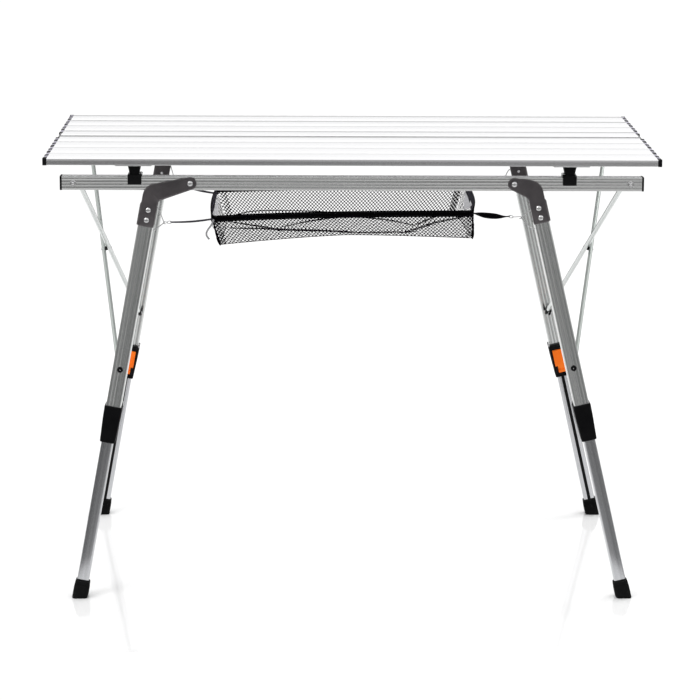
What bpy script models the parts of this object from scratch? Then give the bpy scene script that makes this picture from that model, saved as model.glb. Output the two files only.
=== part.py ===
"""Roll-top folding camp kitchen table: slatted top, two rails, four telescoping legs, end cross bars and a hanging storage basket.

Metres. X runs along the table, Y from front to back, Z up. The origin is the centre of the footprint on the floor.
"""

import math

import bmesh
import bpy
from mathutils import Matrix, Vector

for old in list(bpy.data.objects):
    bpy.data.objects.remove(old, do_unlink=True)

MM = 0.001
GAP = 0.3 * MM  # clearance between neighbouring pieces

# table top
TOP_LENGTH = 900 * MM
TOP_DEPTH = 450 * MM
TOP_HEIGHT = 670 * MM
SLATS = 8
SLAT_THICK = 7.5 * MM
SLAT_WALL = 1.4 * MM

# rails
RAIL_Y = 187 * MM  # rail centre from the middle of the table
RAIL_Z = 629 * MM
RAIL_LENGTH = 857 * MM
RAIL_HIGH = 20.5 * MM
RAIL_DEEP = 22 * MM
RAIL_CAP = 3 * MM
SPLAY = math.radians(2.68)  # each long frame leans outwards towards its feet
KNUCKLE_X = 408.8 * MM

# clips that hold the top on the rails
CLIP_X = 319 * MM
CLIP_WIDE = 20 * MM
CLIP_TOP_Z = 642.8 * MM
PLATE_WIDE = 53 * MM
KEEPER_TOP = 22 * MM
KEEPER_FOOT = 15 * MM
KEEPER_DEEP = 20 * MM

# legs, left then right: lean from upright, arm from pivot to leg axis, distances down the leg
PIVOT_X = 237.8 * MM
LEG = {
    "l": {"side": -1, "lean": math.radians(10.5), "arm": 53.4 * MM, "bracket_end": 74.7 * MM, "bolt": 293.0 * MM, "collar": 349.8 * MM, "slopes": (math.radians(10.8), math.radians(19.2))},
    "r": {"side": 1, "lean": math.radians(13.3), "arm": 27.1 * MM, "bracket_end": 65.2 * MM, "bolt": 289.0 * MM, "collar": 346.3 * MM, "slopes": (math.radians(8), math.radians(26.7))},
}
LEG_START = 25 * MM
UPPER_WIDE = 22.6 * MM
UPPER_DEEP = 22 * MM
BORE_WIDE = 18.6 * MM
BORE_DEEP = 18 * MM
BORE_START = 52 * MM
LOWER_WIDE = 17.8 * MM
LOWER_DEEP = 17.2 * MM
LOWER_WALL = 1.7 * MM
LOWER_SLOT = 5 * MM
LOWER_INSERT = 60 * MM  # length of lower tube kept inside the upper tube
COLLAR_LONG = 54 * MM
COLLAR_TUBE = 18 * MM
COLLAR_TOP = 26.6 * MM
COLLAR_FOOT = 22.8 * MM
LEVER_WIDE = 17.5 * MM
LEVER_LONG = 40 * MM
LEVER_HUB = 2.6 * MM  # radius of the rounded end round its pin
FOOT_WIDE = 25 * MM
FOOT_DEEP = 24.4 * MM
FOOT_TALL = 29 * MM

# brackets between rail and leg
PLATE = 2 * MM
PLATE_N = 11.4 * MM  # inner face of each plate from the frame's middle plane
PIVOT_R = 9.4 * MM

# cross bars at the table's ends
BAR_R = 3.1 * MM
BAR_OFFSET = 4.3 * MM  # each bar passes beside the pin line, so the two bars clear each other
BAR_PIN_N = 19 * MM  # pin height above the frame's middle plane
KNUCKLE_R = 6.6 * MM

# hanging basket
BASKET_X = (-208 * MM, 180 * MM)
BASKET_Y = (-114 * MM, 114 * MM)
RIM_Z = 569 * MM
RIM_SLOPE = 9.5 / 388
RIM_TALL = 8 * MM
BASKET_TALL = 38 * MM
CLOTH = 1.2 * MM
STRAP_WIDE = 8 * MM
STRAP_THICK = 1.6 * MM
RING_APEX = {"l": Vector((-273 * MM, 171 * MM, 572.5 * MM)), "r": Vector((245 * MM, 171 * MM, 582 * MM))}

LOOKS = {
    "silver": ((0.78, 0.78, 0.77, 1), 1.0, 0.32),
    "gunmetal": ((0.06, 0.055, 0.058, 1), 0.4, 0.42),
    "black": ((0.012, 0.012, 0.013, 1), 0.0, 0.45),
    "orange": ((1.0, 0.13, 0.0, 1), 0.0, 0.3),
    "rubber": ((0.014, 0.014, 0.014, 1), 0.0, 0.75),
    "mesh": ((0.02, 0.02, 0.022, 1), 0.0, 0.9),
}


def finish(name, mesh_data, look):
    """Close, orient and name one body, with a material of its own."""
    bmesh.ops.remove_doubles(mesh_data, verts=mesh_data.verts, dist=0.00001)
    bent = [f for f in mesh_data.faces if len(f.verts) > 3 and max(abs((v.co - f.verts[0].co).dot(f.normal)) for v in f.verts) > 0.000002]
    if bent:
        bmesh.ops.triangulate(mesh_data, faces=bent)
    bmesh.ops.recalc_face_normals(mesh_data, faces=mesh_data.faces)
    mesh = bpy.data.meshes.new(name)
    mesh_data.to_mesh(mesh)
    mesh_data.free()
    ob = bpy.data.objects.new(name, mesh)
    bpy.context.scene.collection.objects.link(ob)
    colour, metal, rough = LOOKS[look]
    mat = bpy.data.materials.new(name)
    mat.use_nodes = True
    shader = mat.node_tree.nodes["Principled BSDF"]
    shader.inputs["Base Color"].default_value = colour
    shader.inputs["Metallic"].default_value = metal
    shader.inputs["Roughness"].default_value = rough
    mesh.materials.append(mat)
    return ob


def skin(rings, closed=False):
    """A body through rings of equal length: capped at both ends, or joined end to end."""
    bm = bmesh.new()
    rows = [[bm.verts.new(p) for p in ring] for ring in rings]
    count = len(rows[0])
    for k in range(len(rows) if closed else len(rows) - 1):
        low, high = rows[k], rows[(k + 1) % len(rows)]
        for i in range(count):
            j = (i + 1) % count
            bm.faces.new((low[i], low[j], high[j], high[i]))
    if not closed:
        bm.faces.new(rows[0])
        bm.faces.new(rows[-1])
    bm.normal_update()
    return bm


def put(place, outline, level):
    """An outline in a local plane, at a level along the third axis."""
    return [place @ Vector((a, b, level)) for a, b in outline]


def prism(name, look, place, outline, low, high):
    return finish(name, skin([put(place, outline, low), put(place, outline, high)]), look)


def arc(cx, cy, r, start, end, steps):
    return [(cx + r * math.cos(math.radians(start + (end - start) * i / steps)), cy + r * math.sin(math.radians(start + (end - start) * i / steps))) for i in range(steps + 1)]


def rounded(points, steps=3):
    """A polygon whose corners, given as (x, y, radius), are rounded."""
    out = []
    for i, (x, y, r) in enumerate(points):
        p = Vector((x, y))
        a = Vector(points[i - 1][:2])
        b = Vector(points[(i + 1) % len(points)][:2])
        if r <= 0:
            out.append((x, y))
            continue
        da, db = (a - p).normalized(), (b - p).normalized()
        half = da.angle(db) / 2
        cut = r / math.tan(half)
        centre = p + (da + db).normalized() * (r / math.sin(half))
        start, end = p + da * cut - centre, p + db * cut - centre
        turn = math.atan2(start.x * end.y - start.y * end.x, start.dot(end))
        for k in range(steps + 1):
            c, s = math.cos(turn * k / steps), math.sin(turn * k / steps)
            out.append((centre.x + start.x * c - start.y * s, centre.y + start.x * s + start.y * c))
    return out


def box(w, d, r, steps=3, at=(0.0, 0.0)):
    x, y = w / 2, d / 2
    return [(px + at[0], py + at[1]) for px, py in rounded([(-x, -y, r), (x, -y, r), (x, y, r), (-x, y, r)], steps)]


def fluted(w, d, r, along, depth):
    """A rounded box outline with shallow flutes in both wide faces, at the places listed in along."""
    x, y = w / 2, d / 2
    half = 1.6 * MM
    low = arc(-x + r, -y + r, r, 180, 270, 3)
    for c in sorted(along):
        low += [(c - half, -y), (c - half * 0.5, -y + depth), (c + half * 0.5, -y + depth), (c + half, -y)]
    low += arc(x - r, -y + r, r, 270, 360, 3)
    high = [(-px, -py) for px, py in low]
    return low + high


def shrink(outline, w, d):
    """The same number of points on a plain box inside an outline."""
    out = []
    for px, py in outline:
        k = max(abs(px) / (w / 2), abs(py) / (d / 2))
        out.append((px / k, py / k))
    return out


def frame(side):
    """Local axes of a long frame: X, down the frame, and inwards to the middle of the table."""
    s, c = math.sin(SPLAY), math.cos(SPLAY)
    return Matrix(((1, 0, 0, 0), (0, side * s, -side * c, side * RAIL_Y), (0, -c, -s, RAIL_Z), (0, 0, 0, 1)))


def leg_place(side, leg):
    """Local axes of a leg: down the leg, outwards across it, and inwards to the middle of the table."""
    s, c = math.sin(leg["lean"]), math.cos(leg["lean"])
    turn = Matrix(((leg["side"] * s, leg["side"] * c, 0, leg["side"] * PIVOT_X), (c, -s, 0, 0), (0, 0, 1, 0), (0, 0, 0, 1)))
    return frame(side) @ turn


def across(place):
    """The same place, with the second and third axes first, so outlines lie across the leg and levels run down it."""
    return place @ Matrix(((0, 0, 1, 0), (1, 0, 0, 0), (0, 1, 0, 0), (0, 0, 0, 1)))


def slats():
    pitch = TOP_DEPTH / SLATS
    for i in range(SLATS):
        y = -TOP_DEPTH / 2 + pitch * (i + 0.5)
        place = Matrix(((0, 0, 1, 0), (1, 0, 0, y), (0, 1, 0, TOP_HEIGHT - SLAT_THICK / 2), (0, 0, 0, 1)))
        outer = box(pitch - GAP, SLAT_THICK, 0.9 * MM, 2)
        inner = box(pitch - GAP - 2.4 * SLAT_WALL, SLAT_THICK - 2 * SLAT_WALL, 0.5 * MM, 2)
        half = TOP_LENGTH / 2
        finish(f"slat_{i + 1}", skin([put(place, outer, -half), put(place, outer, half), put(place, inner, half), put(place, inner, -half)], closed=True), "silver")


def rails():
    for row, side in (("front", -1), ("rear", 1)):
        place = frame(side) @ Matrix(((0, 0, 1, 0), (1, 0, 0, 0), (0, 1, 0, 0), (0, 0, 0, 1)))
        lines = [-6.4 * MM, -2.1 * MM, 2.1 * MM, 6.4 * MM]
        outer = fluted(RAIL_HIGH, RAIL_DEEP, 1.6 * MM, lines, 0.7 * MM)
        inner = shrink(outer, RAIL_HIGH - 4.4 * MM, RAIL_DEEP - 4.4 * MM)
        half = RAIL_LENGTH / 2 - RAIL_CAP - GAP
        finish(f"rail_{row}", skin([put(place, outer, -half), put(place, outer, half), put(place, inner, half), put(place, inner, -half)], closed=True), "silver")
        for end, sign in (("l", -1), ("r", 1)):
            edge = sorted((sign * RAIL_LENGTH / 2, sign * (RAIL_LENGTH / 2 - RAIL_CAP)))
            prism(f"rail_cap_{row[0]}{end}", "black", place, box(RAIL_HIGH + 0.4 * MM, RAIL_DEEP + 0.2 * MM, 2 * MM), *edge)


def clips():
    """A block over each rail and, on the end slats, the keeper that stands on it."""
    under = TOP_HEIGHT - SLAT_THICK - GAP
    for row, side in (("f", -1), ("r", 1)):
        place = frame(side)
        n, up = RAIL_DEEP / 2 + GAP, RAIL_HIGH / 2 + GAP
        inside = [(-n, 1.5 * MM), (-n, -up), (n, -up), (n, -4 * MM)]
        inside = [place @ Vector((0, w, k)) for k, w in inside]
        wall = 3 * MM
        front = place @ Vector((0, 1.5 * MM, -n - wall))
        back = place @ Vector((0, -4 * MM, n + wall))
        outline = [(v.y, v.z) for v in inside] + [(back.y, back.z), (back.y - side * 0.2 * MM, CLIP_TOP_Z), (front.y + side * 0.6 * MM, CLIP_TOP_Z), (front.y, front.z)]
        for end, sign in (("l", -1), ("r", 1)):
            x = sign * CLIP_X
            flat = Matrix(((0, 0, 1, x), (1, 0, 0, 0), (0, 1, 0, 0), (0, 0, 0, 1)))
            prism(f"clip_block_{row}{end}", "black", flat, outline, -CLIP_WIDE / 2, CLIP_WIDE / 2)
            low = CLIP_TOP_Z + 0.4 * MM
            edge = under - 1.5 * MM
            shape = [(-PLATE_WIDE / 2, under), (-PLATE_WIDE / 2, edge), (-KEEPER_TOP / 2, edge), (-KEEPER_FOOT / 2, low), (KEEPER_FOOT / 2, low), (KEEPER_TOP / 2, edge), (PLATE_WIDE / 2, edge), (PLATE_WIDE / 2, under)]
            wall = Matrix(((1, 0, 0, x), (0, 0, 1, side * RAIL_Y), (0, 1, 0, 0), (0, 0, 0, 1)))
            prism(f"keeper_{row}{end}", "black", wall, shape, -KEEPER_DEEP / 2 - 4 * MM, KEEPER_DEEP / 2)


def joined(name, look, parts):
    """Several overlapping closed meshes made into one body."""
    obs = []
    for i, bm in enumerate(parts):
        bmesh.ops.recalc_face_normals(bm, faces=bm.faces)
        mesh = bpy.data.meshes.new(f"{name}_{i}")
        bm.to_mesh(mesh)
        bm.free()
        ob = bpy.data.objects.new(f"{name}_{i}", mesh)
        bpy.context.scene.collection.objects.link(ob)
        obs.append(ob)
    for other in obs[1:]:
        mod = obs[0].modifiers.new("join", "BOOLEAN")
        mod.operation, mod.solver, mod.object = "UNION", "EXACT", other
    bpy.context.view_layer.update()
    done = obs[0].evaluated_get(bpy.context.evaluated_depsgraph_get()).to_mesh()
    bm = bmesh.new()
    bm.from_mesh(done)
    for ob in obs:
        bpy.data.objects.remove(ob, do_unlink=True)
    bmesh.ops.dissolve_limit(bm, angle_limit=0.001, verts=bm.verts, edges=bm.edges)
    bm.normal_update()
    return finish(name, bm, look)


def bracket(tag, side, leg):
    """Two angled plates, one each side of rail and leg, joined by a flange round the leg's outer face."""
    place = leg_place(side, leg)
    arm, end, lean = leg["arm"], leg["bracket_end"], leg["lean"]
    half = UPPER_WIDE / 2 + 0.6 * MM
    out, inner = arm + half, arm - half

    def turned(x, w):
        s, c = math.sin(lean), math.cos(lean)
        return (x * s + w * c, x * c - w * s)

    def corner(slope, sign, v):
        """Where an arm edge, which leaves the hub at a slope, meets the leg edge at v."""
        x, w = sign * PIVOT_R * math.sin(slope), -sign * PIVOT_R * math.cos(slope)
        t = (v - turned(x, w)[1]) / math.cos(slope + lean)
        return turned(x + t * math.cos(slope), w + t * math.sin(slope))

    top, under = leg["slopes"]
    hub = [(*turned(px, pw), 0) for px, pw in arc(0, 0, PIVOT_R, 90 + math.degrees(under), 270 + math.degrees(top), 10)]
    outline = rounded(hub + [(*corner(top, 1, out), 20 * MM), (end, out, 1 * MM), (end, inner, 1 * MM), (*corner(under, -1, inner), 8 * MM)], 5)
    plates = []
    for low, high in ((-PLATE_N - PLATE, -PLATE_N), (PLATE_N, PLATE_N + PLATE)):
        plates.append(skin([put(place, outline, low), put(place, outline, high)]))
    start = end - 32 * MM
    flange = [(start, out - 0.3 * MM), (start, out + 1.5 * MM), (end - 0.8 * MM, out + 1.5 * MM), (end - 0.8 * MM, out - 0.3 * MM)]
    lip = PLATE_N + PLATE - 0.4 * MM
    plates.append(skin([put(place, flange, -lip), put(place, flange, lip)]))
    joined(f"bracket_{tag}", "gunmetal", plates)


def upper_leg(tag, side, leg):
    place = across(leg_place(side, leg))
    shift = leg["arm"]
    lines = [-4.6 * MM, 0, 4.6 * MM]
    outer = fluted(UPPER_WIDE, UPPER_DEEP, 2.2 * MM, lines, 0.8 * MM)
    inner = shrink(outer, BORE_WIDE, BORE_DEEP)
    outer, inner = ([(a + shift, b) for a, b in ring] for ring in (outer, inner))
    bottom = leg["collar"] + COLLAR_TUBE
    rings = [put(place, inner, BORE_START), put(place, inner, bottom), put(place, outer, bottom), put(place, outer, LEG_START)]
    finish(f"leg_upper_{tag}", skin(rings), "silver")


def collar(tag, side, leg):
    """The clamp housing at the upper tube's mouth, thicker on its inner face, where the lever sits."""
    place = across(leg_place(side, leg))
    shift, top = leg["arm"], leg["collar"]
    def ring(w, near, far, level, r=3 * MM):
        return put(place, box(w, near + far, r, 3, (shift, (far - near) / 2)), level)
    steps = top + COLLAR_TUBE + GAP
    rings = [
        ring(COLLAR_TOP - 1.6 * MM, 12.5 * MM, 16 * MM, top),
        ring(COLLAR_TOP, 13.3 * MM, 17.5 * MM, top + 1.5 * MM),
        ring(COLLAR_TOP - 0.6 * MM, 13.0 * MM, 17.5 * MM, top + 20 * MM),
        ring(COLLAR_FOOT, 11.4 * MM, 15 * MM, top + COLLAR_LONG - 1.2 * MM),
        ring(COLLAR_FOOT - 1.2 * MM, 10.8 * MM, 14.4 * MM, top + COLLAR_LONG),
        ring(BORE_WIDE, BORE_DEEP / 2, BORE_DEEP / 2, top + COLLAR_LONG, 1 * MM),
        ring(BORE_WIDE, BORE_DEEP / 2, BORE_DEEP / 2, steps, 1 * MM),
        ring(UPPER_WIDE + 2 * GAP, UPPER_DEEP / 2 + GAP, UPPER_DEEP / 2 + GAP, steps, 2 * MM),
        ring(UPPER_WIDE + 2 * GAP, UPPER_DEEP / 2 + GAP, UPPER_DEEP / 2 + GAP, top, 2 * MM),
    ]
    finish(f"collar_{tag}", skin(rings, closed=True), "black")


def lever(tag, side, leg):
    """The clamp lever, lying on the collar's inner face; its section is drawn down the leg and pulled across it."""
    place = leg_place(side, leg) @ Matrix(((1, 0, 0, 0), (0, 0, 1, leg["arm"]), (0, 1, 0, 0), (0, 0, 0, 1)))
    top = leg["collar"] + 7 * MM
    low = 17.9 * MM
    hub = [(x, y, 0) for x, y in arc(top + LEVER_HUB, low + LEVER_HUB, LEVER_HUB, 270, 90, 6)]
    shape = rounded(hub + [(top + 24 * MM, low + 4.6 * MM, 4 * MM), (top + LEVER_LONG, low + 2.6 * MM, 1 * MM), (top + LEVER_LONG, low - 0.3 * MM, 0), (top + 20 * MM, low, 0)])
    prism(f"lever_{tag}", "orange", place, shape, -LEVER_WIDE / 2, LEVER_WIDE / 2)


def foot_start(side, leg):
    """How far down the leg its axis meets the floor, and where the foot begins."""
    place = leg_place(side, leg)
    a, b = place @ Vector((0, leg["arm"], 0)), place @ Vector((1, leg["arm"], 0))
    floor = a.z / (a.z - b.z)
    return floor, floor - FOOT_TALL


def lower_leg(tag, side, leg):
    """A channel tube, open by a slot along its inner face, that slides in the upper tube."""
    place = across(leg_place(side, leg))
    floor, foot = foot_start(side, leg)
    x, y, slot, wall = LOWER_WIDE / 2, LOWER_DEEP / 2, LOWER_SLOT / 2, LOWER_WALL
    half = [(-slot, y, 0), (-x, y, 2.6 * MM), (-x, -y, 2.6 * MM), (x, -y, 2.6 * MM), (x, y, 2.6 * MM), (slot, y, 0), (slot, y - wall, 0), (x - wall, y - wall, 1 * MM), (x - wall, -y + wall, 1 * MM), (-x + wall, -y + wall, 1 * MM), (-x + wall, y - wall, 1 * MM), (-slot, y - wall, 0)]
    outline = [(a + leg["arm"], b) for a, b in rounded(half, 2)]
    prism(f"leg_lower_{tag}", "silver", place, outline, leg["collar"] + COLLAR_TUBE - LOWER_INSERT, foot - GAP)


def foot(tag, side, leg):
    """A foot cut level with the floor."""
    place = across(leg_place(side, leg))
    floor, start = foot_start(side, leg)
    down = (place.to_3x3() @ Vector((0, 0, 1))).normalized()
    rings = []
    for w, d, level in ((FOOT_WIDE - 3.4 * MM, FOOT_DEEP - 3.4 * MM, start), (FOOT_WIDE - 1 * MM, FOOT_DEEP - 1 * MM, start + 2.5 * MM), (FOOT_WIDE, FOOT_DEEP, start + 9 * MM)):
        rings.append(put(place, box(w, d, 4.4 * MM, 3, (leg["arm"], 0)), level))
    rings.append([p - down * (p.z / down.z) for p in rings[-1]])
    finish(f"foot_{tag}", skin(rings), "rubber")


def pins(side, leg):
    """Ends of the bar that starts at this frame's rail end: its rail pin, and the bolt on the opposite frame's leg."""
    start = frame(side) @ Vector((leg["side"] * KNUCKLE_X, 0, BAR_PIN_N))
    end = leg_place(-side, leg) @ Vector((leg["bolt"], leg["arm"], BAR_PIN_N))
    return start, end


def cross_bar(tag, side, leg):
    """A knuckle that turns on the rail end, and the bar pinned to it."""
    start, end = pins(side, leg)
    normal = (frame(side).to_3x3() @ Vector((0, 0, 1))).normalized()
    along = (end - start).normalized()
    pin = normal.cross(along).normalized()
    if pin.x * leg["side"] < 0:
        pin = -pin  # the pin points away from the table
    reach = along - normal * along.dot(normal)
    reach.normalize()
    lie = 1 if side > 0 else -1  # rear bars pass outside front bars
    base = start - normal * BAR_PIN_N
    # knuckle: a disc against the rail and an ear beside the bar
    disc_place = Matrix((pin, reach, normal)).transposed().to_4x4()
    disc_place.translation = base
    disc = arc(0, 0, KNUCKLE_R, 0, 360 - 22.5, 15)
    near = -lie * 0.3 * MM
    far = -lie * 2.9 * MM
    w = 4.6 * MM
    ear = [(near, -w), (far, -w), (far, w), (near, w)]
    low = RAIL_DEEP / 2 + GAP
    joined(f"knuckle_{tag}", "black", [
        skin([put(disc_place, disc, low), put(disc_place, disc, low + 3 * MM)]),
        skin([put(disc_place, ear, low + 1.5 * MM), put(disc_place, ear, BAR_PIN_N + 4 * MM)]),
    ])
    bar_place = Matrix((pin, along.cross(pin), along)).transposed().to_4x4()
    bar_place.translation = start
    circle = arc(lie * BAR_OFFSET, 0, BAR_R, 0, 360 - 30, 11)
    prism(f"bar_{tag}", "silver", bar_place, circle, -2 * MM, (end - start).length + 2 * MM)


def basket():
    """An open mesh tray with a webbing rim; the rim climbs slightly to the right."""
    x0, x1 = BASKET_X
    y0, y1 = BASKET_Y
    cx, cy = (x0 + x1) / 2, (y0 + y1) / 2
    def ring(inset, drop, sag=0.0):
        w, d = x1 - x0 - 2 * inset, y1 - y0 - 2 * inset
        out = []
        for a, b in box(w, d, max(14 * MM - inset * 0.6, 4 * MM), 4, (cx, cy)):
            z = RIM_Z + (a - cx) * RIM_SLOPE - drop
            out.append(Vector((a, b, z)))
        return out
    rings = [
        ring(13 * MM, BASKET_TALL),
        ring(10 * MM, BASKET_TALL - 4 * MM),
        ring(1.6 * MM, RIM_TALL),
        ring(0, RIM_TALL),
        ring(0, 0),
        ring(2.4 * MM, 0),
        ring(2.4 * MM, RIM_TALL - 0.5 * MM),
        ring(1.6 * MM + CLOTH, RIM_TALL),
        ring(10 * MM + CLOTH, BASKET_TALL - 4 * MM),
        ring(13 * MM + CLOTH, BASKET_TALL - CLOTH),
    ]
    finish("basket", skin(rings), "mesh")


def strap(tag, side, leg):
    """A webbing strap from a basket corner to the ring on a leg bracket."""
    apex = RING_APEX["l" if leg["side"] < 0 else "r"].copy()
    apex.y *= side
    x = BASKET_X[0] if leg["side"] < 0 else BASKET_X[1]
    y = BASKET_Y[0] if side < 0 else BASKET_Y[1]
    cx = sum(BASKET_X) / 2
    corner = Vector((x - leg["side"] * 3.4 * MM, y - side * 3.4 * MM, RIM_Z + (x - cx) * RIM_SLOPE - RIM_TALL / 2))
    run = (apex - corner).normalized()
    flat = run.cross(Vector((0, 0, 1))).normalized()
    up = flat.cross(run).normalized()
    outward = corner + run * 1.6 * MM
    long = (apex - outward).length
    rings = []
    for t, wide in ((0.0, 0.7), (0.25, 1.0), (0.55, 1.0), (0.78, 0.35), (1.0, 0.3)):
        a, b = STRAP_THICK / 2, STRAP_WIDE / 2 * wide
        c = outward + run * long * t
        rings.append([c + flat * p + up * q for p, q in ((-a, -b), (a, -b), (a, b), (-a, b))])
    finish(f"strap_{tag}", skin(rings), "mesh")


slats()
rails()
clips()
basket()
for row, side in (("f", -1), ("r", 1)):
    for end in ("l", "r"):
        leg, tag = LEG[end], row + end
        bracket(tag, side, leg)
        upper_leg(tag, side, leg)
        collar(tag, side, leg)
        lever(tag, side, leg)
        lower_leg(tag, side, leg)
        foot(tag, side, leg)
        cross_bar(tag, side, leg)
        strap(tag, side, leg)
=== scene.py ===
"""Looks for the roll-top camp kitchen table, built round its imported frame. Metres, Z up."""

import math

import bmesh
import bpy
from mathutils import Matrix, Vector


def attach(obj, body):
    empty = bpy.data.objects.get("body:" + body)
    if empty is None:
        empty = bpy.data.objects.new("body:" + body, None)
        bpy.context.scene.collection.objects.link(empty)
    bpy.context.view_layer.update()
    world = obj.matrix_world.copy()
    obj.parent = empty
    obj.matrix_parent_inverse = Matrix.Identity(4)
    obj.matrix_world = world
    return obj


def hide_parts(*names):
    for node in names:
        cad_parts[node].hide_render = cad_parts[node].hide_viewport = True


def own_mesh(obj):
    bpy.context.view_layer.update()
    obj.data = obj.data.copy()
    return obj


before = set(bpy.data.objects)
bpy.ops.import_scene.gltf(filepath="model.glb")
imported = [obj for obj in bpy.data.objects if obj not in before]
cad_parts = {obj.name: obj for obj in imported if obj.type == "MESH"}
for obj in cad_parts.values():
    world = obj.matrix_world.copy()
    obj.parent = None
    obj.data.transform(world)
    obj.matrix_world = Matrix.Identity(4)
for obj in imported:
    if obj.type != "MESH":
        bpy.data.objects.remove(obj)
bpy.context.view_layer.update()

MM = 0.001

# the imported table's own measures
TOP_LENGTH = 900 * MM
TOP_DEPTH = 450 * MM
TOP_HEIGHT = 670 * MM
SLATS = 8
SLAT_THICK = 7.5 * MM
RAIL_Y = 187 * MM
RAIL_Z = 629 * MM
RAIL_LENGTH = 857 * MM
RAIL_HIGH = 20.5 * MM
RAIL_DEEP = 22 * MM
RAIL_CAP = 3 * MM
SPLAY = math.radians(2.68)
KNUCKLE_X = 408.8 * MM
CLIP_X = 319 * MM
CLIP_WIDE = 20 * MM
CLIP_TOP_Z = 642.8 * MM
PLATE_WIDE = 53 * MM
KEEPER_TOP = 20.5 * MM
KEEPER_FOOT = 13.5 * MM
PIVOT_X = 237.8 * MM
LEG = {
    "l": {
        "side": -1, "lean": math.radians(10.5), "arm": 53.4 * MM, "bracket_end": 74.7 * MM,
        "bolt": 293.0 * MM, "collar": 349.8 * MM, "rivets": (50 * MM, 65 * MM),
        "slopes": (math.radians(10.8), math.radians(19.2)), "swing": math.radians(-32.6),
    },
    "r": {
        "side": 1, "lean": math.radians(13.3), "arm": 27.1 * MM, "bracket_end": 65.2 * MM,
        "bolt": 289.0 * MM, "collar": 346.3 * MM, "rivets": (42.5 * MM, 57 * MM),
        "slopes": (math.radians(8), math.radians(26.7)), "swing": math.radians(33.5),
    },
}
LEG_START = 25 * MM
UPPER_WIDE = 22.6 * MM
UPPER_DEEP = 22 * MM
BORE_WIDE = 18.6 * MM
BORE_DEEP = 18 * MM
LOWER_WIDE = 17.8 * MM
LOWER_DEEP = 17.2 * MM
LOWER_WALL = 1.7 * MM
LOWER_SLOT = 5 * MM
LOWER_INSERT = 60 * MM
COLLAR_LONG = 54 * MM
COLLAR_TUBE = 18 * MM
COLLAR_TOP = 26.6 * MM
COLLAR_FOOT = 22.8 * MM
LEVER_WIDE = 17.5 * MM
LEVER_LONG = 40 * MM
LEVER_HUB = 2.6 * MM
FOOT_TALL = 29 * MM
PLATE = 2 * MM
PLATE_N = 11.4 * MM
PIVOT_R = 9.4 * MM
BAR_R = 3.1 * MM
BAR_OFFSET = 4.3 * MM
BAR_PIN_N = 19 * MM
KNUCKLE_R = 6.6 * MM
BASKET_X = (-208 * MM, 180 * MM)
BASKET_Y = 114 * MM
RIM_Z = 569 * MM
RIM_SLOPE = 9.5 / 388
RIM_TALL = 8 * MM
BAND_TALL = 10 * MM
RIM_ENDS = (-210.5 * MM, 184.5 * MM)
# how much further than the basket each rail goes when the frame is folded
RAIL_LEAD = 47.5 * MM
RING_APEX = {"l": Vector((-278, 171, 566)) * MM, "r": Vector((251, 171, 575)) * MM}
RING_ENDS = {
    "l": ((-288, 188.5, 596.5), (-292, 189.5, 558.5)),
    "r": ((260, 188.5, 587.5), (264.5, 189.5, 563)),
}

ENDS = (("l", -1), ("r", 1))
IDENTITY = Matrix.Identity(4)
UP = Vector((0, 0, 1))
# local Z lies along X
ALONG_X = Matrix(((0, 0, 1, 0), (1, 0, 0, 0), (0, 1, 0, 0), (0, 0, 0, 1)))
# local Y and Z change places
SWAP_YZ = Matrix(((1, 0, 0, 0), (0, 0, 1, 0), (0, 1, 0, 0), (0, 0, 0, 1)))
FACE_OUT = Matrix.Diagonal((1, -1, -1, 1))


def at(a, b, c):
    return Matrix.Translation((a, b, c))


def tip(degrees):
    """A turn about X."""
    return Matrix.Rotation(math.radians(degrees), 4, "X")


def mm(*points):
    """Points given in millimetres, in metres."""
    return [tuple(v * MM for v in point) for point in points]


# ---------------------------------------------------------------- materials


class Graph:
    """A node tree under construction."""

    def __init__(self, tree):
        self.tree = tree

    def add(self, kind, sockets=None, **settings):
        node = self.tree.nodes.new(kind)
        for key, value in settings.items():
            setattr(node, key, value)
        for key, source in (sockets or {}).items():
            if isinstance(source, bpy.types.NodeSocket):
                self.tree.links.new(source, node.inputs[key])
            else:
                node.inputs[key].default_value = source
        return node

    def noise(self, vector, scale, detail=3.0, rough=0.55):
        sockets = {"Vector": vector, "Scale": scale, "Detail": detail, "Roughness": rough}
        return self.add("ShaderNodeTexNoise", sockets).outputs["Fac"]

    def math(self, operation, a, b=0.0):
        return self.add("ShaderNodeMath", {0: a, 1: b}, operation=operation).outputs[0]

    def times(self, a, b):
        return self.math("MULTIPLY", a, b)

    def plus(self, a, b):
        return self.math("ADD", a, b)

    def span(self, value, low, high, start=0.3, end=0.7, **settings):
        sockets = {"Value": value, "From Min": start, "From Max": end, "To Min": low, "To Max": high}
        return self.add("ShaderNodeMapRange", sockets, **settings).outputs["Result"]

    def mix(self, fac, a, b):
        def full(c):
            return c if isinstance(c, bpy.types.NodeSocket) or len(c) == 4 else (*c, 1)

        return self.add("ShaderNodeMix", {0: fac, 6: full(a), 7: full(b)}, data_type="RGBA").outputs[2]


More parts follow.
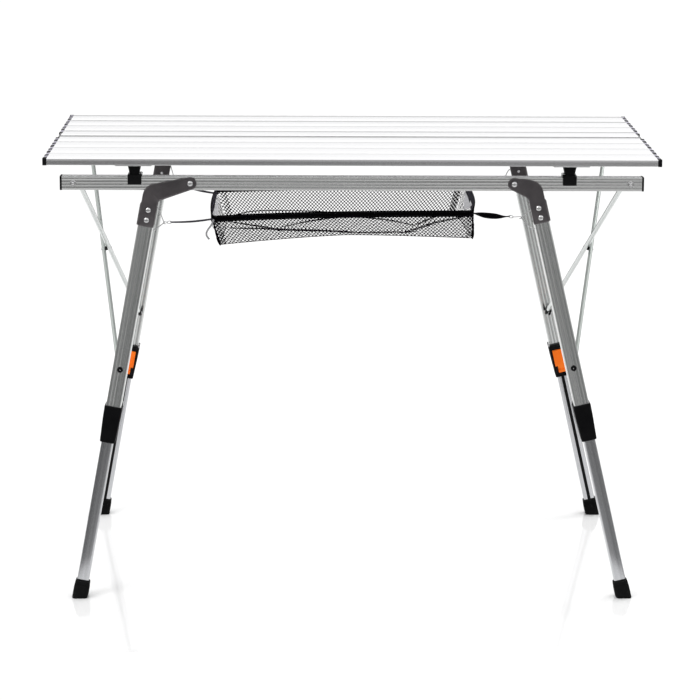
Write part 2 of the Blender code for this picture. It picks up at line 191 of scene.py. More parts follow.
class Paint(Graph):
    """A procedural material under construction."""

    def __init__(self, name, fixed):
        self.mat = bpy.data.materials.new(name)
        self.mat.use_nodes = True
        super().__init__(self.mat.node_tree)
        self.shader = self.tree.nodes["Principled BSDF"]
        for socket, value in fixed.items():
            self.shader.inputs[socket].default_value = value
        coords = self.add("ShaderNodeTexCoord")
        self.object, self.uv = coords.outputs["Object"], coords.outputs["UV"]

    def scaled(self, xyz):
        return self.add("ShaderNodeMapping", {"Vector": self.object, "Scale": xyz}).outputs["Vector"]

    def set(self, socket, source):
        self.tree.links.new(source, self.shader.inputs[socket])

    def bump(self, height, strength, distance):
        sockets = {"Height": height, "Strength": strength, "Distance": distance}
        self.set("Normal", self.add("ShaderNodeBump", sockets).outputs["Normal"])

    def edges(self):
        """1 along convex edges, 0 elsewhere."""
        point = self.add("ShaderNodeNewGeometry").outputs["Pointiness"]
        return self.span(point, 0.0, 1.0, 0.52, 0.62)


def aluminium(name, dark, light, rough, along=2, metallic=1.0, streak=500):
    """Drawn and anodised aluminium: fine lines run along one local axis."""
    p = Paint(name, {"Metallic": metallic})
    stretch = [1.0, 1.0, 1.0]
    stretch[along] = 0.002
    fine = p.noise(p.scaled(stretch), streak, 4.0)
    broad = p.noise(p.scaled(stretch), 190, 1.0)
    cloudy = p.noise(p.object, 14, 3.0)
    tone = p.plus(p.times(fine, 0.35), p.times(broad, 0.55))
    tone = p.plus(tone, p.times(cloudy, 0.1))
    p.set("Base Color", p.mix(p.span(tone, 0.0, 1.0, 0.35, 0.65), dark, light))
    p.set("Roughness", p.span(fine, rough - 0.02, rough + 0.03))
    p.bump(fine, 0.008, 0.0001)
    return p.mat


def painted_metal(name):
    """Satin gunmetal enamel, a little brown, rubbed brighter on its edges."""
    p = Paint(name, {"Metallic": 0.55, "Specular IOR Level": 0.5})
    grain = p.noise(p.object, 2200, 2.0)
    cloudy = p.noise(p.object, 45, 4.0)
    base = p.mix(p.span(cloudy, 0.0, 1.0), (0.05, 0.045, 0.048), (0.074, 0.067, 0.07))
    worn = p.times(p.edges(), p.span(p.noise(p.object, 160, 4.0), 0.15, 0.8, 0.35, 0.6))
    p.set("Base Color", p.mix(worn, base, (0.3, 0.29, 0.29)))
    mottle = p.plus(p.times(grain, 0.6), p.times(cloudy, 0.4))
    p.set("Roughness", p.span(mottle, 0.36, 0.5))
    p.bump(grain, 0.25, 0.0002)
    return p.mat


def moulded(name, dark, light, rough, grain=1600, depth=0.2, worn=(0.02, 0.02, 0.021), shine=0.04):
    """Moulded plastic or rubber with a fine grain, slightly polished where it is handled."""
    p = Paint(name, {"Metallic": 0.0, "Specular IOR Level": shine})
    fine = p.noise(p.object, grain, 3.0)
    cloudy = p.noise(p.object, 38, 4.0)
    base = p.mix(p.span(cloudy, 0.0, 1.0), dark, light)
    p.set("Base Color", p.mix(p.times(p.edges(), 0.5), base, worn))
    mottle = p.plus(p.times(fine, 0.5), p.times(cloudy, 0.5))
    p.set("Roughness", p.span(mottle, rough - 0.07, rough + 0.08))
    p.bump(fine, depth, 0.00025)
    return p.mat


def bright_steel(name, tone=0.78, rough=0.2):
    """Polished fastener steel with hairline scratches."""
    p = Paint(name, {"Metallic": 1.0})
    scratch = p.noise(p.scaled((1, 9, 1)), 700, 5.0)
    cloudy = p.noise(p.object, 220, 3.0)
    dark, light = (tone * 0.82, tone * 0.82, tone * 0.84), (tone, tone, tone * 0.99)
    p.set("Base Color", p.mix(p.span(cloudy, 0.0, 1.0), dark, light))
    p.set("Roughness", p.span(scratch, rough - 0.08, rough + 0.12))
    p.bump(scratch, 0.08, 0.0001)
    return p.mat


def webbing(name, dark, light, stitch=True):
    """Woven tape: ribs across its length, fine threads, and a row of stitches near each edge."""
    p = Paint(name, {"Metallic": 0.0, "Sheen Weight": 0.0, "Specular IOR Level": 0.02})
    ribs = p.add(
        "ShaderNodeTexWave", {"Vector": p.uv, "Scale": 560.0, "Distortion": 0.6, "Detail": 1.0},
        bands_direction="X"
    ).outputs["Fac"]
    threads = p.add(
        "ShaderNodeTexWave", {"Vector": p.uv, "Scale": 900.0, "Distortion": 0.4}, bands_direction="Y"
    ).outputs["Fac"]
    weave = p.times(ribs, threads)
    fuzz = p.noise(p.object, 900, 4.0)
    height = p.plus(weave, p.times(fuzz, 0.5))
    base = p.mix(p.times(height, 0.7), dark, light)
    if stitch:
        parts = p.add("ShaderNodeSeparateXYZ", {0: p.uv})
        across = p.math("ABSOLUTE", parts.outputs["Y"])
        row = p.math("LESS_THAN", p.math("ABSOLUTE", p.math("SUBTRACT", across, 0.0029)), 0.0003)
        dash = p.math("GREATER_THAN", p.math("FRACT", p.times(parts.outputs["X"], 380.0)), 0.3)
        thread = p.times(row, dash)
        base = p.mix(thread, base, (0.02, 0.02, 0.022))
        height = p.plus(height, thread)
    p.set("Base Color", base)
    p.set("Roughness", p.span(fuzz, 0.72, 0.95))
    p.bump(height, 0.5, 0.0004)
    return p.mat


def netting(name, pitch, thread):
    """Knitted net: round threads that cross on the diagonal, with open holes between them."""
    p = Paint(name, {"Metallic": 0.0, "Specular IOR Level": 0.05})
    parts = p.add("ShaderNodeSeparateXYZ", {0: p.uv})
    wobble = p.times(p.math("SUBTRACT", p.noise(p.object, 25, 1.0), 0.5), 0.3)
    powers = []
    for operation in ("ADD", "SUBTRACT"):
        line = p.math(operation, parts.outputs["X"], parts.outputs["Y"])
        line = p.plus(p.math("DIVIDE", line, pitch), wobble)
        away = p.times(p.math("ABSOLUTE", p.math("SUBTRACT", p.math("FRACT", line), 0.5)), 2.0)
        powers.append(p.math("POWER", away, 3.0))
    hole = p.math("POWER", p.plus(powers[0], powers[1]), 1 / 3)
    solid = p.math("GREATER_THAN", hole, 1.0 - thread)
    fuzz = p.noise(p.object, 1400, 2.0)
    p.set("Base Color", p.mix(fuzz, (0.0, 0.0, 0.001), (0.003, 0.002, 0.005)))
    p.set("Roughness", p.span(fuzz, 0.6, 0.85))
    p.set("Alpha", solid)
    p.bump(hole, 0.4, 0.0003)
    return p.mat


def satin(name):
    """White satin lining with a soft crease and fine ribs."""
    p = Paint(name, {"Metallic": 0.0, "Sheen Weight": 0.4})
    ribs = p.add("ShaderNodeTexWave", {"Vector": p.object, "Scale": 260.0, "Distortion": 2.0}).outputs["Fac"]
    cloudy = p.noise(p.object, 120, 4.0)
    p.set("Base Color", p.mix(p.span(cloudy, 0.0, 1.0), (0.74, 0.73, 0.78), (0.95, 0.95, 0.97)))
    p.set("Roughness", p.span(ribs, 0.32, 0.5, 0.0, 1.0))
    p.bump(ribs, 0.2, 0.0003)
    return p.mat


TOP = aluminium("anodised_top", (0.87, 0.87, 0.88), (0.93, 0.93, 0.94), 0.2)
FRAME = aluminium("drawn_aluminium", (0.51, 0.525, 0.52), (0.74, 0.75, 0.74), 0.22)
RAIL = aluminium("drawn_aluminium_rail", (0.43, 0.435, 0.43), (0.57, 0.575, 0.57), 0.22)
LOWER = aluminium("drawn_aluminium_inner", (0.47, 0.475, 0.49), (0.57, 0.575, 0.59), 0.2, streak=900)
ROD = aluminium("rod_aluminium", (0.56, 0.58, 0.57), (0.64, 0.66, 0.65), 0.2, streak=900)
ROD_DULL = aluminium("rod_aluminium_dull", (0.38, 0.41, 0.39), (0.46, 0.49, 0.47), 0.3, streak=900)
GUNMETAL = painted_metal("gunmetal_enamel")
BLACK = moulded("black_plastic", (0.0015, 0.0015, 0.0018), (0.004, 0.004, 0.0045), 0.45)
CAP = moulded("end_cap_plastic", (0.012, 0.011, 0.016), (0.03, 0.027, 0.038), 0.3, grain=1100, shine=0.35)
# a pale copy of the end cap plastic, paler still on its edges: painted highlight for the sky reflected in the
# glossy black caps
CAP_HIGHLIGHT_PAINTED = moulded(
    "end_cap_plastic_painted_highlight", (0.17, 0.16, 0.21), (0.3, 0.28, 0.36), 0.35, grain=1100, worn=(0.5, 0.48, 0.55),
    shine=0.4
)
ORANGE = moulded(
    "orange_plastic", (1.0, 0.14, 0.0), (1.0, 0.185, 0.002), 0.4, depth=0.12, worn=(1.0, 0.3, 0.05), shine=0.2
)
RUBBER = moulded("foot_rubber", (0.002, 0.002, 0.002), (0.006, 0.006, 0.006), 0.6, grain=900, depth=0.4)
STEEL = bright_steel("fastener_steel", 0.62)
WIRE = bright_steel("wire_steel", 0.45, 0.28)
TAPE = webbing("black_webbing", (0.0004, 0.0004, 0.0006), (0.0035, 0.003, 0.004))
TAPE_GREY = webbing("grey_webbing", (0.035, 0.033, 0.042), (0.1, 0.095, 0.115))
TAPE_PALE = webbing("pale_tape", (0.32, 0.32, 0.33), (0.55, 0.55, 0.56), stitch=False)
THREAD = webbing("binding_thread", (0.003, 0.003, 0.004), (0.01, 0.01, 0.012), stitch=False)
NET = netting("black_net", 5.6 * MM, 0.22)
NET_OPEN = netting("black_net_open", 9.0 * MM, 0.08)
NET_GATHERED = netting("black_net_gathered", 3.2 * MM, 0.62)
SATIN = satin("white_satin")

SLOTS = {TOP: "top_aluminium", GUNMETAL: "bracket_metal", ORANGE: "orange_plastic", RUBBER: "foot_rubber"}
SLOTS.update(dict.fromkeys((FRAME, RAIL, LOWER, ROD, ROD_DULL), "frame_aluminium"))
SLOTS.update(dict.fromkeys((BLACK, CAP, CAP_HIGHLIGHT_PAINTED), "black_plastic"))
SLOTS.update(dict.fromkeys((TAPE, TAPE_GREY, TAPE_PALE, THREAD, NET, NET_GATHERED, SATIN), "basket_fabric"))


# ---------------------------------------------------------------- mesh tools


def skin(rings, closed=False):
    """A body through rings of equal length: capped at both ends, or joined end to end."""
    bm = bmesh.new()
    rows = [[bm.verts.new(p) for p in ring] for ring in rings]
    count = len(rows[0])
    for k in range(len(rows) if closed else len(rows) - 1):
        low, high = rows[k], rows[(k + 1) % len(rows)]
        for i in range(count):
            j = (i + 1) % count
            bm.faces.new((low[i], low[j], high[j], high[i]))
    if not closed:
        bm.faces.new(rows[0])
        bm.faces.new(rows[-1])
    return bm


def level(outline, z):
    return [Vector((a, b, z)) for a, b in outline]


def prism(outline, low, high):
    return skin([level(outline, low), level(outline, high)])


def block(x0, x1, y0, y1, low, high, width, segments=2):
    """A small box with its edges rounded."""
    return bevelled(prism(rect(x0, x1, y0, y1), low, high), width, segments)


def joined(parts):
    """Several closed bodies in one mesh."""
    out = bmesh.new()
    for bm in parts:
        mesh = bpy.data.meshes.new("part")
        bm.to_mesh(mesh)
        bm.free()
        out.from_mesh(mesh)
        bpy.data.meshes.remove(mesh)
    return out


def moved(bm, matrix):
    bm.transform(matrix)
    return bm


def bevelled(bm, width, segments=2, angle=25):
    """Round every edge sharper than an angle."""
    bmesh.ops.remove_doubles(bm, verts=bm.verts, dist=0.001 * MM)
    bmesh.ops.recalc_face_normals(bm, faces=bm.faces)
    sharp = [e for e in bm.edges if len(e.link_faces) == 2 and e.calc_face_angle(0.0) > math.radians(angle)]
    bmesh.ops.bevel(
        bm, geom=sharp, offset=width, segments=segments, profile=0.5, affect="EDGES", clamp_overlap=True
    )
    return bm


def make(name, place, bm, mat, body, instead_of=(), slot=None, smooth=38, closed=True):
    """One piece in its own local axes, riding on a body."""
    if closed:
        bmesh.ops.recalc_face_normals(bm, faces=bm.faces)
    if place.determinant() < 0:
        mirror = Matrix.Diagonal((-1, 1, 1, 1))
        bm.transform(mirror)
        bmesh.ops.reverse_faces(bm, faces=bm.faces)
        place = place @ mirror
    mesh = bpy.data.meshes.new(name)
    bm.to_mesh(mesh)
    bm.free()
    mesh.shade_smooth()
    mesh.set_sharp_from_angle(angle=math.radians(smooth))
    mesh.materials.append(mat)
    ob = bpy.data.objects.new(name, mesh)
    bpy.context.scene.collection.objects.link(ob)
    ob.matrix_world = place
    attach(ob, body)
    slot = slot or SLOTS.get(mat)
    if instead_of:
        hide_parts(*instead_of)
    return ob


def arc(cx, cy, r, start, end, steps):
    out = []
    for i in range(steps + 1):
        a = math.radians(start + (end - start) * i / steps)
        out.append((cx + r * math.cos(a), cy + r * math.sin(a)))
    return out


def rounded(points, steps=4):
    """A polygon whose corners, given as (x, y, radius), are rounded."""
    out = []
    for i, (x, y, r) in enumerate(points):
        p = Vector((x, y))
        a = Vector(points[i - 1][:2])
        b = Vector(points[(i + 1) % len(points)][:2])
        if r <= 0:
            out.append((x, y))
            continue
        da, db = (a - p).normalized(), (b - p).normalized()
        half = da.angle(db) / 2
        cut = r / math.tan(half)
        centre = p + (da + db).normalized() * (r / math.sin(half))
        start, end = p + da * cut - centre, p + db * cut - centre
        turn = math.atan2(start.x * end.y - start.y * end.x, start.dot(end))
        for k in range(steps + 1):
            c, s = math.cos(turn * k / steps), math.sin(turn * k / steps)
            out.append((centre.x + start.x * c - start.y * s, centre.y + start.x * s + start.y * c))
    return out


def box(w, d, r, steps=4, middle=(0.0, 0.0)):
    """A rectangle outline with round corners."""
    x, y = w / 2, d / 2
    corners = [(-x, -y, r), (x, -y, r), (x, y, r), (-x, y, r)]
    return [(px + middle[0], py + middle[1]) for px, py in rounded(corners, steps)]


def rect(x0, x1, y0, y1):
    return [(x0, y0), (x1, y0), (x1, y1), (x0, y1)]


def flute(c, y, depth, half):
    """Points of one rounded groove in a lower face at height y."""
    out = []
    for k in range(7):
        t = k / 6 * 2 - 1
        out.append((c + t * half, y + depth * (1 - t * t) ** 0.8))
    return out


def fluted(w, d, r, along, depth, half=1.6 * MM):
    """A rounded box outline with shallow flutes in both wide faces."""
    x, y = w / 2, d / 2
    low = arc(-x + r, -y + r, r, 180, 270, 5)
    for c in sorted(along):
        low += flute(c, -y, depth, half)
    low += arc(x - r, -y + r, r, 270, 360, 5)
    return low + [(-px, -py) for px, py in low]


def shrink(outline, w, d):
    """The points of an outline moved to the rectangle w by d, towards the middle."""
    out = []
    for px, py in outline:
        k = max(abs(px) / (w / 2), abs(py) / (d / 2))
        out.append((px / k, py / k))
    return out


def circle(steps):
    """Cosine and sine at even steps round a circle."""
    turns = [2 * math.pi * k / steps for k in range(steps)]
    return [(math.cos(a), math.sin(a)) for a in turns]


def lathe(profile, seg=28):
    """A turned body about local Z from (radius, height) pairs."""
    return skin([[Vector((r * c, r * s, z)) for c, s in circle(seg)] for r, z in profile])


def dome(r, h, place=IDENTITY, seg=28):
    """A round rivet head with a small dimple."""
    profile = [
        (r, -0.4 * MM), (r, 0.15 * h), (0.94 * r, 0.42 * h), (0.78 * r, 0.7 * h), (0.55 * r, 0.9 * h),
        (0.3 * r, h), (0.2 * r, 0.97 * h), (0.12 * r, 0.8 * h), (0.02 * r, 0.78 * h)
    ]
    return moved(lathe(profile, seg), place)


def frames(path):
    """Two steady side vectors at each point of a path."""
    tangents = []
    for i in range(len(path)):
        a, b = path[max(i - 1, 0)], path[min(i + 1, len(path) - 1)]
        tangents.append((b - a).normalized())
    side = tangents[0].orthogonal().normalized()
    out = []
    for i, t in enumerate(tangents):
        side = (side - t * side.dot(t)).normalized()
        out.append((side, t.cross(side)))
    return out


def tube(path, radius, seg=8):
    """A round wire along a path."""
    rings = []
    for p, (a, b) in zip(path, frames(path)):
        rings.append([p + (a * c + b * s) * radius for c, s in circle(seg)])
    return skin(rings)


def curve(points, steps=8):
    """A smooth line through points."""
    out = []
    n = len(points)
    for i in range(n - 1):
        p0, p1, p2, p3 = points[max(i - 1, 0)], points[i], points[i + 1], points[min(i + 2, n - 1)]
        for k in range(steps):
            t = k / steps
            out.append(
                0.5 * (
                    (2 * p1) + (p2 - p0) * t + (2 * p0 - 5 * p1 + 4 * p2 - p3) * t * t
                    + (3 * p1 - p0 - 3 * p2 + p3) * t ** 3
                )
            )
    out.append(points[-1])
    return out


def tape(path, ups, width, thick, loop=False):
    """A woven strip along a path, ups its width direction. UVs are metres along and across."""
    bm = bmesh.new()
    uv = bm.loops.layers.uv.new("UVMap")
    count = len(path)
    rows, runs = [], [0.0]
    for i in range(count):
        a = path[i - 1] if (i or loop) else path[0]
        b = path[(i + 1) % count] if (i < count - 1 or loop) else path[-1]
        t = (b - a).normalized()
        up = (ups[i] - t * ups[i].dot(t)).normalized()
        out = t.cross(up) * (thick / 2)
        w = width[i] if hasattr(width, "__len__") else width
        across = [
            (-0.5, 0.55), (-0.44, 1), (0.44, 1), (0.5, 0.55), (0.5, -0.55), (0.44, -1), (-0.44, -1),
            (-0.5, -0.55)
        ]
        rows.append(([
            bm.verts.new(path[i] + up * (w * q) + out * s) for q, s in across
        ], [q * w for q, s in across]))
        if i:
            runs.append(runs[-1] + (path[i] - path[i - 1]).length)
    for i in range(count if loop else count - 1):
        (low, lq), (high, hq) = rows[i], rows[(i + 1) % count]
        end = runs[i] + (path[(i + 1) % count] - path[i]).length
        for k in range(8):
            j = (k + 1) % 8
            face = bm.faces.new((low[k], low[j], high[j], high[k]))
            for corner, value in zip(
                face.loops, ((runs[i], lq[k]), (runs[i], lq[j]), (end, hq[j]), (end, hq[k]))
            ):
                corner[uv].uv = value
    if not loop:
        bm.faces.new(rows[0][0])
        bm.faces.new(rows[-1][0])
    return bm


# ---------------------------------------------------------------- places


def long_frame(side):
    """Local axes of a long frame: X, down the frame, and inwards to the middle of the table."""
    s, c = math.sin(SPLAY), math.cos(SPLAY)
    return Matrix(((1, 0, 0, 0), (0, side * s, -side * c, side * RAIL_Y), (0, -c, -s, RAIL_Z), (0, 0, 0, 1)))


def inward_of(side):
    """Direction from a long frame to the middle of the table."""
    return (long_frame(side).to_3x3() @ UP).normalized()


def leg_place(side, leg):
    """Local axes of a leg: down it, outwards across it, and inwards to the table's middle."""
    s, c = math.sin(leg["lean"]), math.cos(leg["lean"])
    way = leg["side"]
    turn = Matrix(((way * s, way * c, 0, way * PIVOT_X), (c, -s, 0, 0), (0, 0, 1, 0), (0, 0, 0, 1)))
    return long_frame(side) @ turn


def across(place, leg):
    """Leg axes as across, inwards and down, from the middle of the tube."""
    return place @ ALONG_X @ Matrix.Translation((leg["arm"], 0, 0))


# ---------------------------------------------------------------- table top


def groove(c, h, half, depth):
    """Corners of a narrow groove in a face at height h."""
    return [
        (c + half, h, 0), (c + half * 0.6, h - depth, 0), (c - half * 0.6, h - depth, 0), (c - half, h, 0)
    ]


def across_slat(sign, low, high, under, over, start, stop, r):
    """A block on one end of a slat, from start to stop along it."""
    h = SLAT_THICK / 2
    a, b = sorted((sign * start, sign * stop))
    shape = rounded([(low, -h + under, r), (high, -h + under, r), (high, h + over, r), (low, h + over, r)], 3)
    return bevelled(prism(shape, a, b), 0.35 * MM, 2)


def slats():
    """Boards with their hinge beads, end caps, lugs, and pale pads that are painted highlights on the caps.
    """
    pitch = TOP_DEPTH / SLATS
    cap = 5 * MM
    # where the end caps are cut back, from the front edge
    recess = (208 * MM, 250 * MM)
    # half gap behind each slat, and how far its rear edge slopes down to the joint, in millimetres
    gaps = (0.25, 0.25, 0.3, 0.6, 0.5, 0.3, 0.6, 0.0)
    drops = (0.08, 0.1, 0.12, 0.4, 0.25, 0.12, 0.3, 0.0)
    length = TOP_LENGTH / 2 - cap
    for i in range(SLATS):
        y = -TOP_DEPTH / 2 + pitch * (i + 0.5)
        body = f"slat_body_{i + 1}"
        place = at(0, y, TOP_HEIGHT - SLAT_THICK / 2) @ ALONG_X
        drop = drops[i] * MM
        left = -pitch / 2 + (gaps[i - 1] if i else 0) * MM
        right, h = pitch / 2 - gaps[i] * MM, SLAT_THICK / 2
        # top face with hairline grooves; underside with a shallow channel;
        # a deeper lip on the table's two long edges
        lip = 2.2 * MM
        points = [
            (left - 0.3 * MM, -h - lip, 0.3 * MM), (left + 2.2 * MM, -h - lip, 0.3 * MM),
            (left + 2.6 * MM, -h, 0.3 * MM)
        ] if i == 0 else [(left, -h, 0.4 * MM)]
        points += [
            (left + 9 * MM, -h, 0.4 * MM), (left + 9.8 * MM, -h + 1.0 * MM, 0.4 * MM),
            (right - 9.8 * MM, -h + 1.0 * MM, 0.4 * MM), (right - 9 * MM, -h, 0.4 * MM)
        ]
        points += [
            (right - 2.6 * MM, -h, 0.3 * MM), (right - 2.2 * MM, -h - lip, 0.3 * MM),
            (right + 0.3 * MM, -h - lip, 0.3 * MM)
        ] if i == SLATS - 1 else [(right, -h, 0.4 * MM)]
        points += [(right, h - drop, 0), (right - 1.3 * MM, h, 0)] if drop else [(right, h, 0.5 * MM)]
        points += groove(9.4 * MM, h, 0.3 * MM, 0.1 * MM) + groove(-9.4 * MM, h, 0.3 * MM, 0.1 * MM)
        points.append((left, h, (0.25 if i == 4 else 0.5) * MM))
        if i == 0:
            points.append((left, -h + 2.4 * MM, 0))
        make(
            f"slat_board_{i + 1}", place, prism(rounded(points, 4), -length, length), TOP, body,
            [f"slat_{i + 1}"], smooth=30
        )
        if i == 3:
            # a black strip in the joint behind slat 4, a little proud of the top: painted shade for the dark
            # line along that joint
            edge = pitch / 2
            joint_shade = block(
                edge - 0.8 * MM, edge + 0.8 * MM, -0.4 * MM, h + 0.12 * MM, -length, length, 0.1 * MM, 1
            )
            make("slat_joint_shade_4", place, joint_shade, BLACK, body)
        if i < SLATS - 1:
            bead = [Vector((pitch / 2, -h + 1.9 * MM, z)) for z in (-length + 2 * MM, length - 2 * MM)]
            make(f"slat_hinge_{i + 1}", place, tube(bead, 1.1 * MM, 12), FRAME, body, slot="top_aluminium")
        for end, sign in ENDS:
            base = across_slat(
                sign, -pitch / 2 + 0.5 * MM, pitch / 2 - 0.5 * MM, 0, 0.05 * MM, length, length + 2.4 * MM,
                1 * MM
            )
            make(f"slat_end_{i + 1}{end}", place, base, CAP, body)
            # blocks on each cap end: black lugs, and between them pale blocks that are painted highlights on
            # the glossy caps
            lugs, highlight_pads = [], []
            for low, high, dark in ((-25, -12, True), (-10, -2, False), (0, 11, True), (13, 26, False)):
                low, high = low * MM, high * MM
                if recess[0] < pitch * (i + 0.5) + (low + high) / 2 < recess[1]:
                    continue
                stop = TOP_LENGTH / 2 - (0 if dark else 1.0 * MM)
                (lugs if dark else highlight_pads).append(across_slat(
                    sign, low, high, 0.2 * MM, 0.3 * MM, length - 0.6 * MM, stop, 1.2 * MM
                ))
            rear = i == SLATS - 1
            if i == 0 or rear:
                low, high = (pitch / 2 - 7 * MM, pitch / 2 + 0.4 * MM) if rear else (
                    -pitch / 2 - 0.4 * MM, -pitch / 2 + 7 * MM
                )
                lugs.append(across_slat(
                    sign, low, high, -2.9 * MM, 0.6 * MM, length - 0.6 * MM, TOP_LENGTH / 2 + 0.4 * MM,
                    2.0 * MM
                ))
            if lugs:
                make(f"slat_lugs_{i + 1}{end}", place, joined(lugs), BLACK, body)
            # the pale blocks: painted highlights
            if highlight_pads:
                make(f"slat_pads_{i + 1}{end}", place, joined(highlight_pads), CAP_HIGHLIGHT_PAINTED, body)


def rails():
    """Fluted tubes with their end plugs, screws and washers."""
    for row, side in (("front", -1), ("rear", 1)):
        place = long_frame(side) @ ALONG_X
        body = f"{row}_rail"
        lines = [-6.6 * MM, -2.2 * MM, 2.2 * MM, 6.6 * MM]
        outer = fluted(RAIL_HIGH, RAIL_DEEP, 1.8 * MM, lines, 0.2 * MM, 1.7 * MM)
        inner = shrink(outer, RAIL_HIGH - 4.4 * MM, RAIL_DEEP - 4.4 * MM)
        half = RAIL_LENGTH / 2 - RAIL_CAP
        rings = [level(outer, -half), level(outer, half), level(inner, half), level(inner, -half)]
        make(f"rail_tube_{row}", place, skin(rings, closed=True), RAIL, body, [f"rail_{row}"], smooth=35)
        for end, sign in ENDS:
            tag = row[0] + end
            low, high = sorted((sign * RAIL_LENGTH / 2, sign * (RAIL_LENGTH / 2 - RAIL_CAP)))
            cap = bevelled(prism(box(
                RAIL_HIGH + 0.6 * MM, RAIL_DEEP + 0.4 * MM, 2.2 * MM
            ), low, high), 0.5 * MM, 2)
            make(f"rail_plug_{tag}", place, cap, BLACK, body, [f"rail_cap_{tag}"])
            head = place @ at(0, -RAIL_DEEP / 2, sign * KNUCKLE_X) @ tip(90)
            washer = lathe(mm((4.6, -0.3), (4.6, 0.35), (4.3, 0.5), (1.0, 0.5)))
            make(f"rail_screw_{tag}", head, dome(2.9 * MM, 2.6 * MM, at(0, 0, 0.4 * MM)), STEEL, body)
            make(f"rail_washer_{tag}", head, washer, WIRE, body)


def clips():
    """Jaw over the rail, keeper under the end slat, its steel plate, cross pin and screws."""
    under = TOP_HEIGHT - SLAT_THICK
    for row, side in (("f", -1), ("r", 1)):
        rail_body = "front_rail" if side < 0 else "rear_rail"
        slat_body = "slat_body_1" if side < 0 else "slat_body_8"
        place = long_frame(side)
        n, up, wall = RAIL_DEEP / 2 + 0.15 * MM, RAIL_HIGH / 2 + 0.15 * MM, 3.1 * MM
        inside = [place @ Vector((0, w, k)) for k, w in [(-n, 1.5 * MM), (-n, -up), (n, -up), (n, -4 * MM)]]
        front = place @ Vector((0, 1.5 * MM, -n - wall))
        back = place @ Vector((0, -4 * MM, n + wall))
        section = [(v.y, v.z) for v in inside] + [
            (back.y, back.z), (back.y - side * 0.2 * MM, CLIP_TOP_Z), (front.y + side * 0.6 * MM, CLIP_TOP_Z),
            (front.y, front.z)
        ]
        for end, sign in ENDS:
            tag, x = row + end, sign * CLIP_X
            flat = at(x, 0, 0) @ ALONG_X
            jaw = bevelled(prism(section, -CLIP_WIDE / 2, CLIP_WIDE / 2), 0.6 * MM, 2)
            make(f"clip_jaw_{tag}", flat, jaw, BLACK, rail_body, [f"clip_block_{tag}"])
            edge, low = under - 1.5 * MM, CLIP_TOP_Z + 0.3 * MM
            wall_place = at(x, side * RAIL_Y, 0) @ SWAP_YZ
            shape = rounded([
                (-KEEPER_TOP / 2, edge, 0), (-KEEPER_TOP / 2, edge - 1.2 * MM, 0.6 * MM),
                (-KEEPER_FOOT / 2, low + 0.6 * MM, 0.6 * MM), (-KEEPER_FOOT / 2 + 0.4 * MM, low, 0),
                (KEEPER_FOOT / 2 - 0.4 * MM, low, 0), (KEEPER_FOOT / 2, low + 0.6 * MM, 0.6 * MM),
                (KEEPER_TOP / 2, edge - 1.2 * MM, 0.6 * MM), (KEEPER_TOP / 2, edge, 0)
            ], 3)
            keeper = bevelled(prism(shape, -14 * MM, 10 * MM), 0.5 * MM, 2)
            make(f"keeper_foot_{tag}", wall_place, keeper, BLACK, slat_body, [f"keeper_{tag}"])
            skirt = under - 4.0 * MM
            plate = rounded([
                (-PLATE_WIDE / 2, skirt, 0.3 * MM), (PLATE_WIDE / 2, skirt, 0.3 * MM),
                (PLATE_WIDE / 2, under, 0), (-PLATE_WIDE / 2, under, 0)
            ], 2)
            reach = (-34.5 * MM, 12 * MM) if side < 0 else (-15 * MM, 34.5 * MM)
            make(
                f"keeper_plate_{tag}", wall_place, bevelled(prism(plate, *reach), 0.3 * MM, 1), FRAME,
                slat_body, slot="top_aluminium"
            )
            pin_y = side * (RAIL_Y + 9.6 * MM)
            pin_x = (x - sign * 10.6 * MM, x + sign * 8.6 * MM)
            pin = tube([Vector((v, pin_y, low + 1.3 * MM)) for v in pin_x], 1.2 * MM, 12)
            bead_at = at(x - sign * 10.2 * MM, side * (RAIL_Y + 9.2 * MM), low + 1.6 * MM)
            bead = moved(lathe(mm((0.6, -2), (1.7, -1.4), (2.1, 0), (1.7, 1.4), (0.6, 2)), 16), bead_at)
            inner = at(x, side * (RAIL_Y - 14 * MM), 651.5 * MM) @ tip(90 * side)
            tab_y = side * (RAIL_Y - 9 * MM)
            tabs = [Vector((v, tab_y, 653 * MM)) for v in (x - 12.2 * MM, x + 12.2 * MM)]
            tabs = tube(tabs, 1.3 * MM, 12)
            make(
                f"keeper_pins_{tag}", IDENTITY, joined([pin, bead, dome(2.1 * MM, 1.3 * MM, inner), tabs]),
                STEEL, slat_body
            )


# ---------------------------------------------------------------- legs


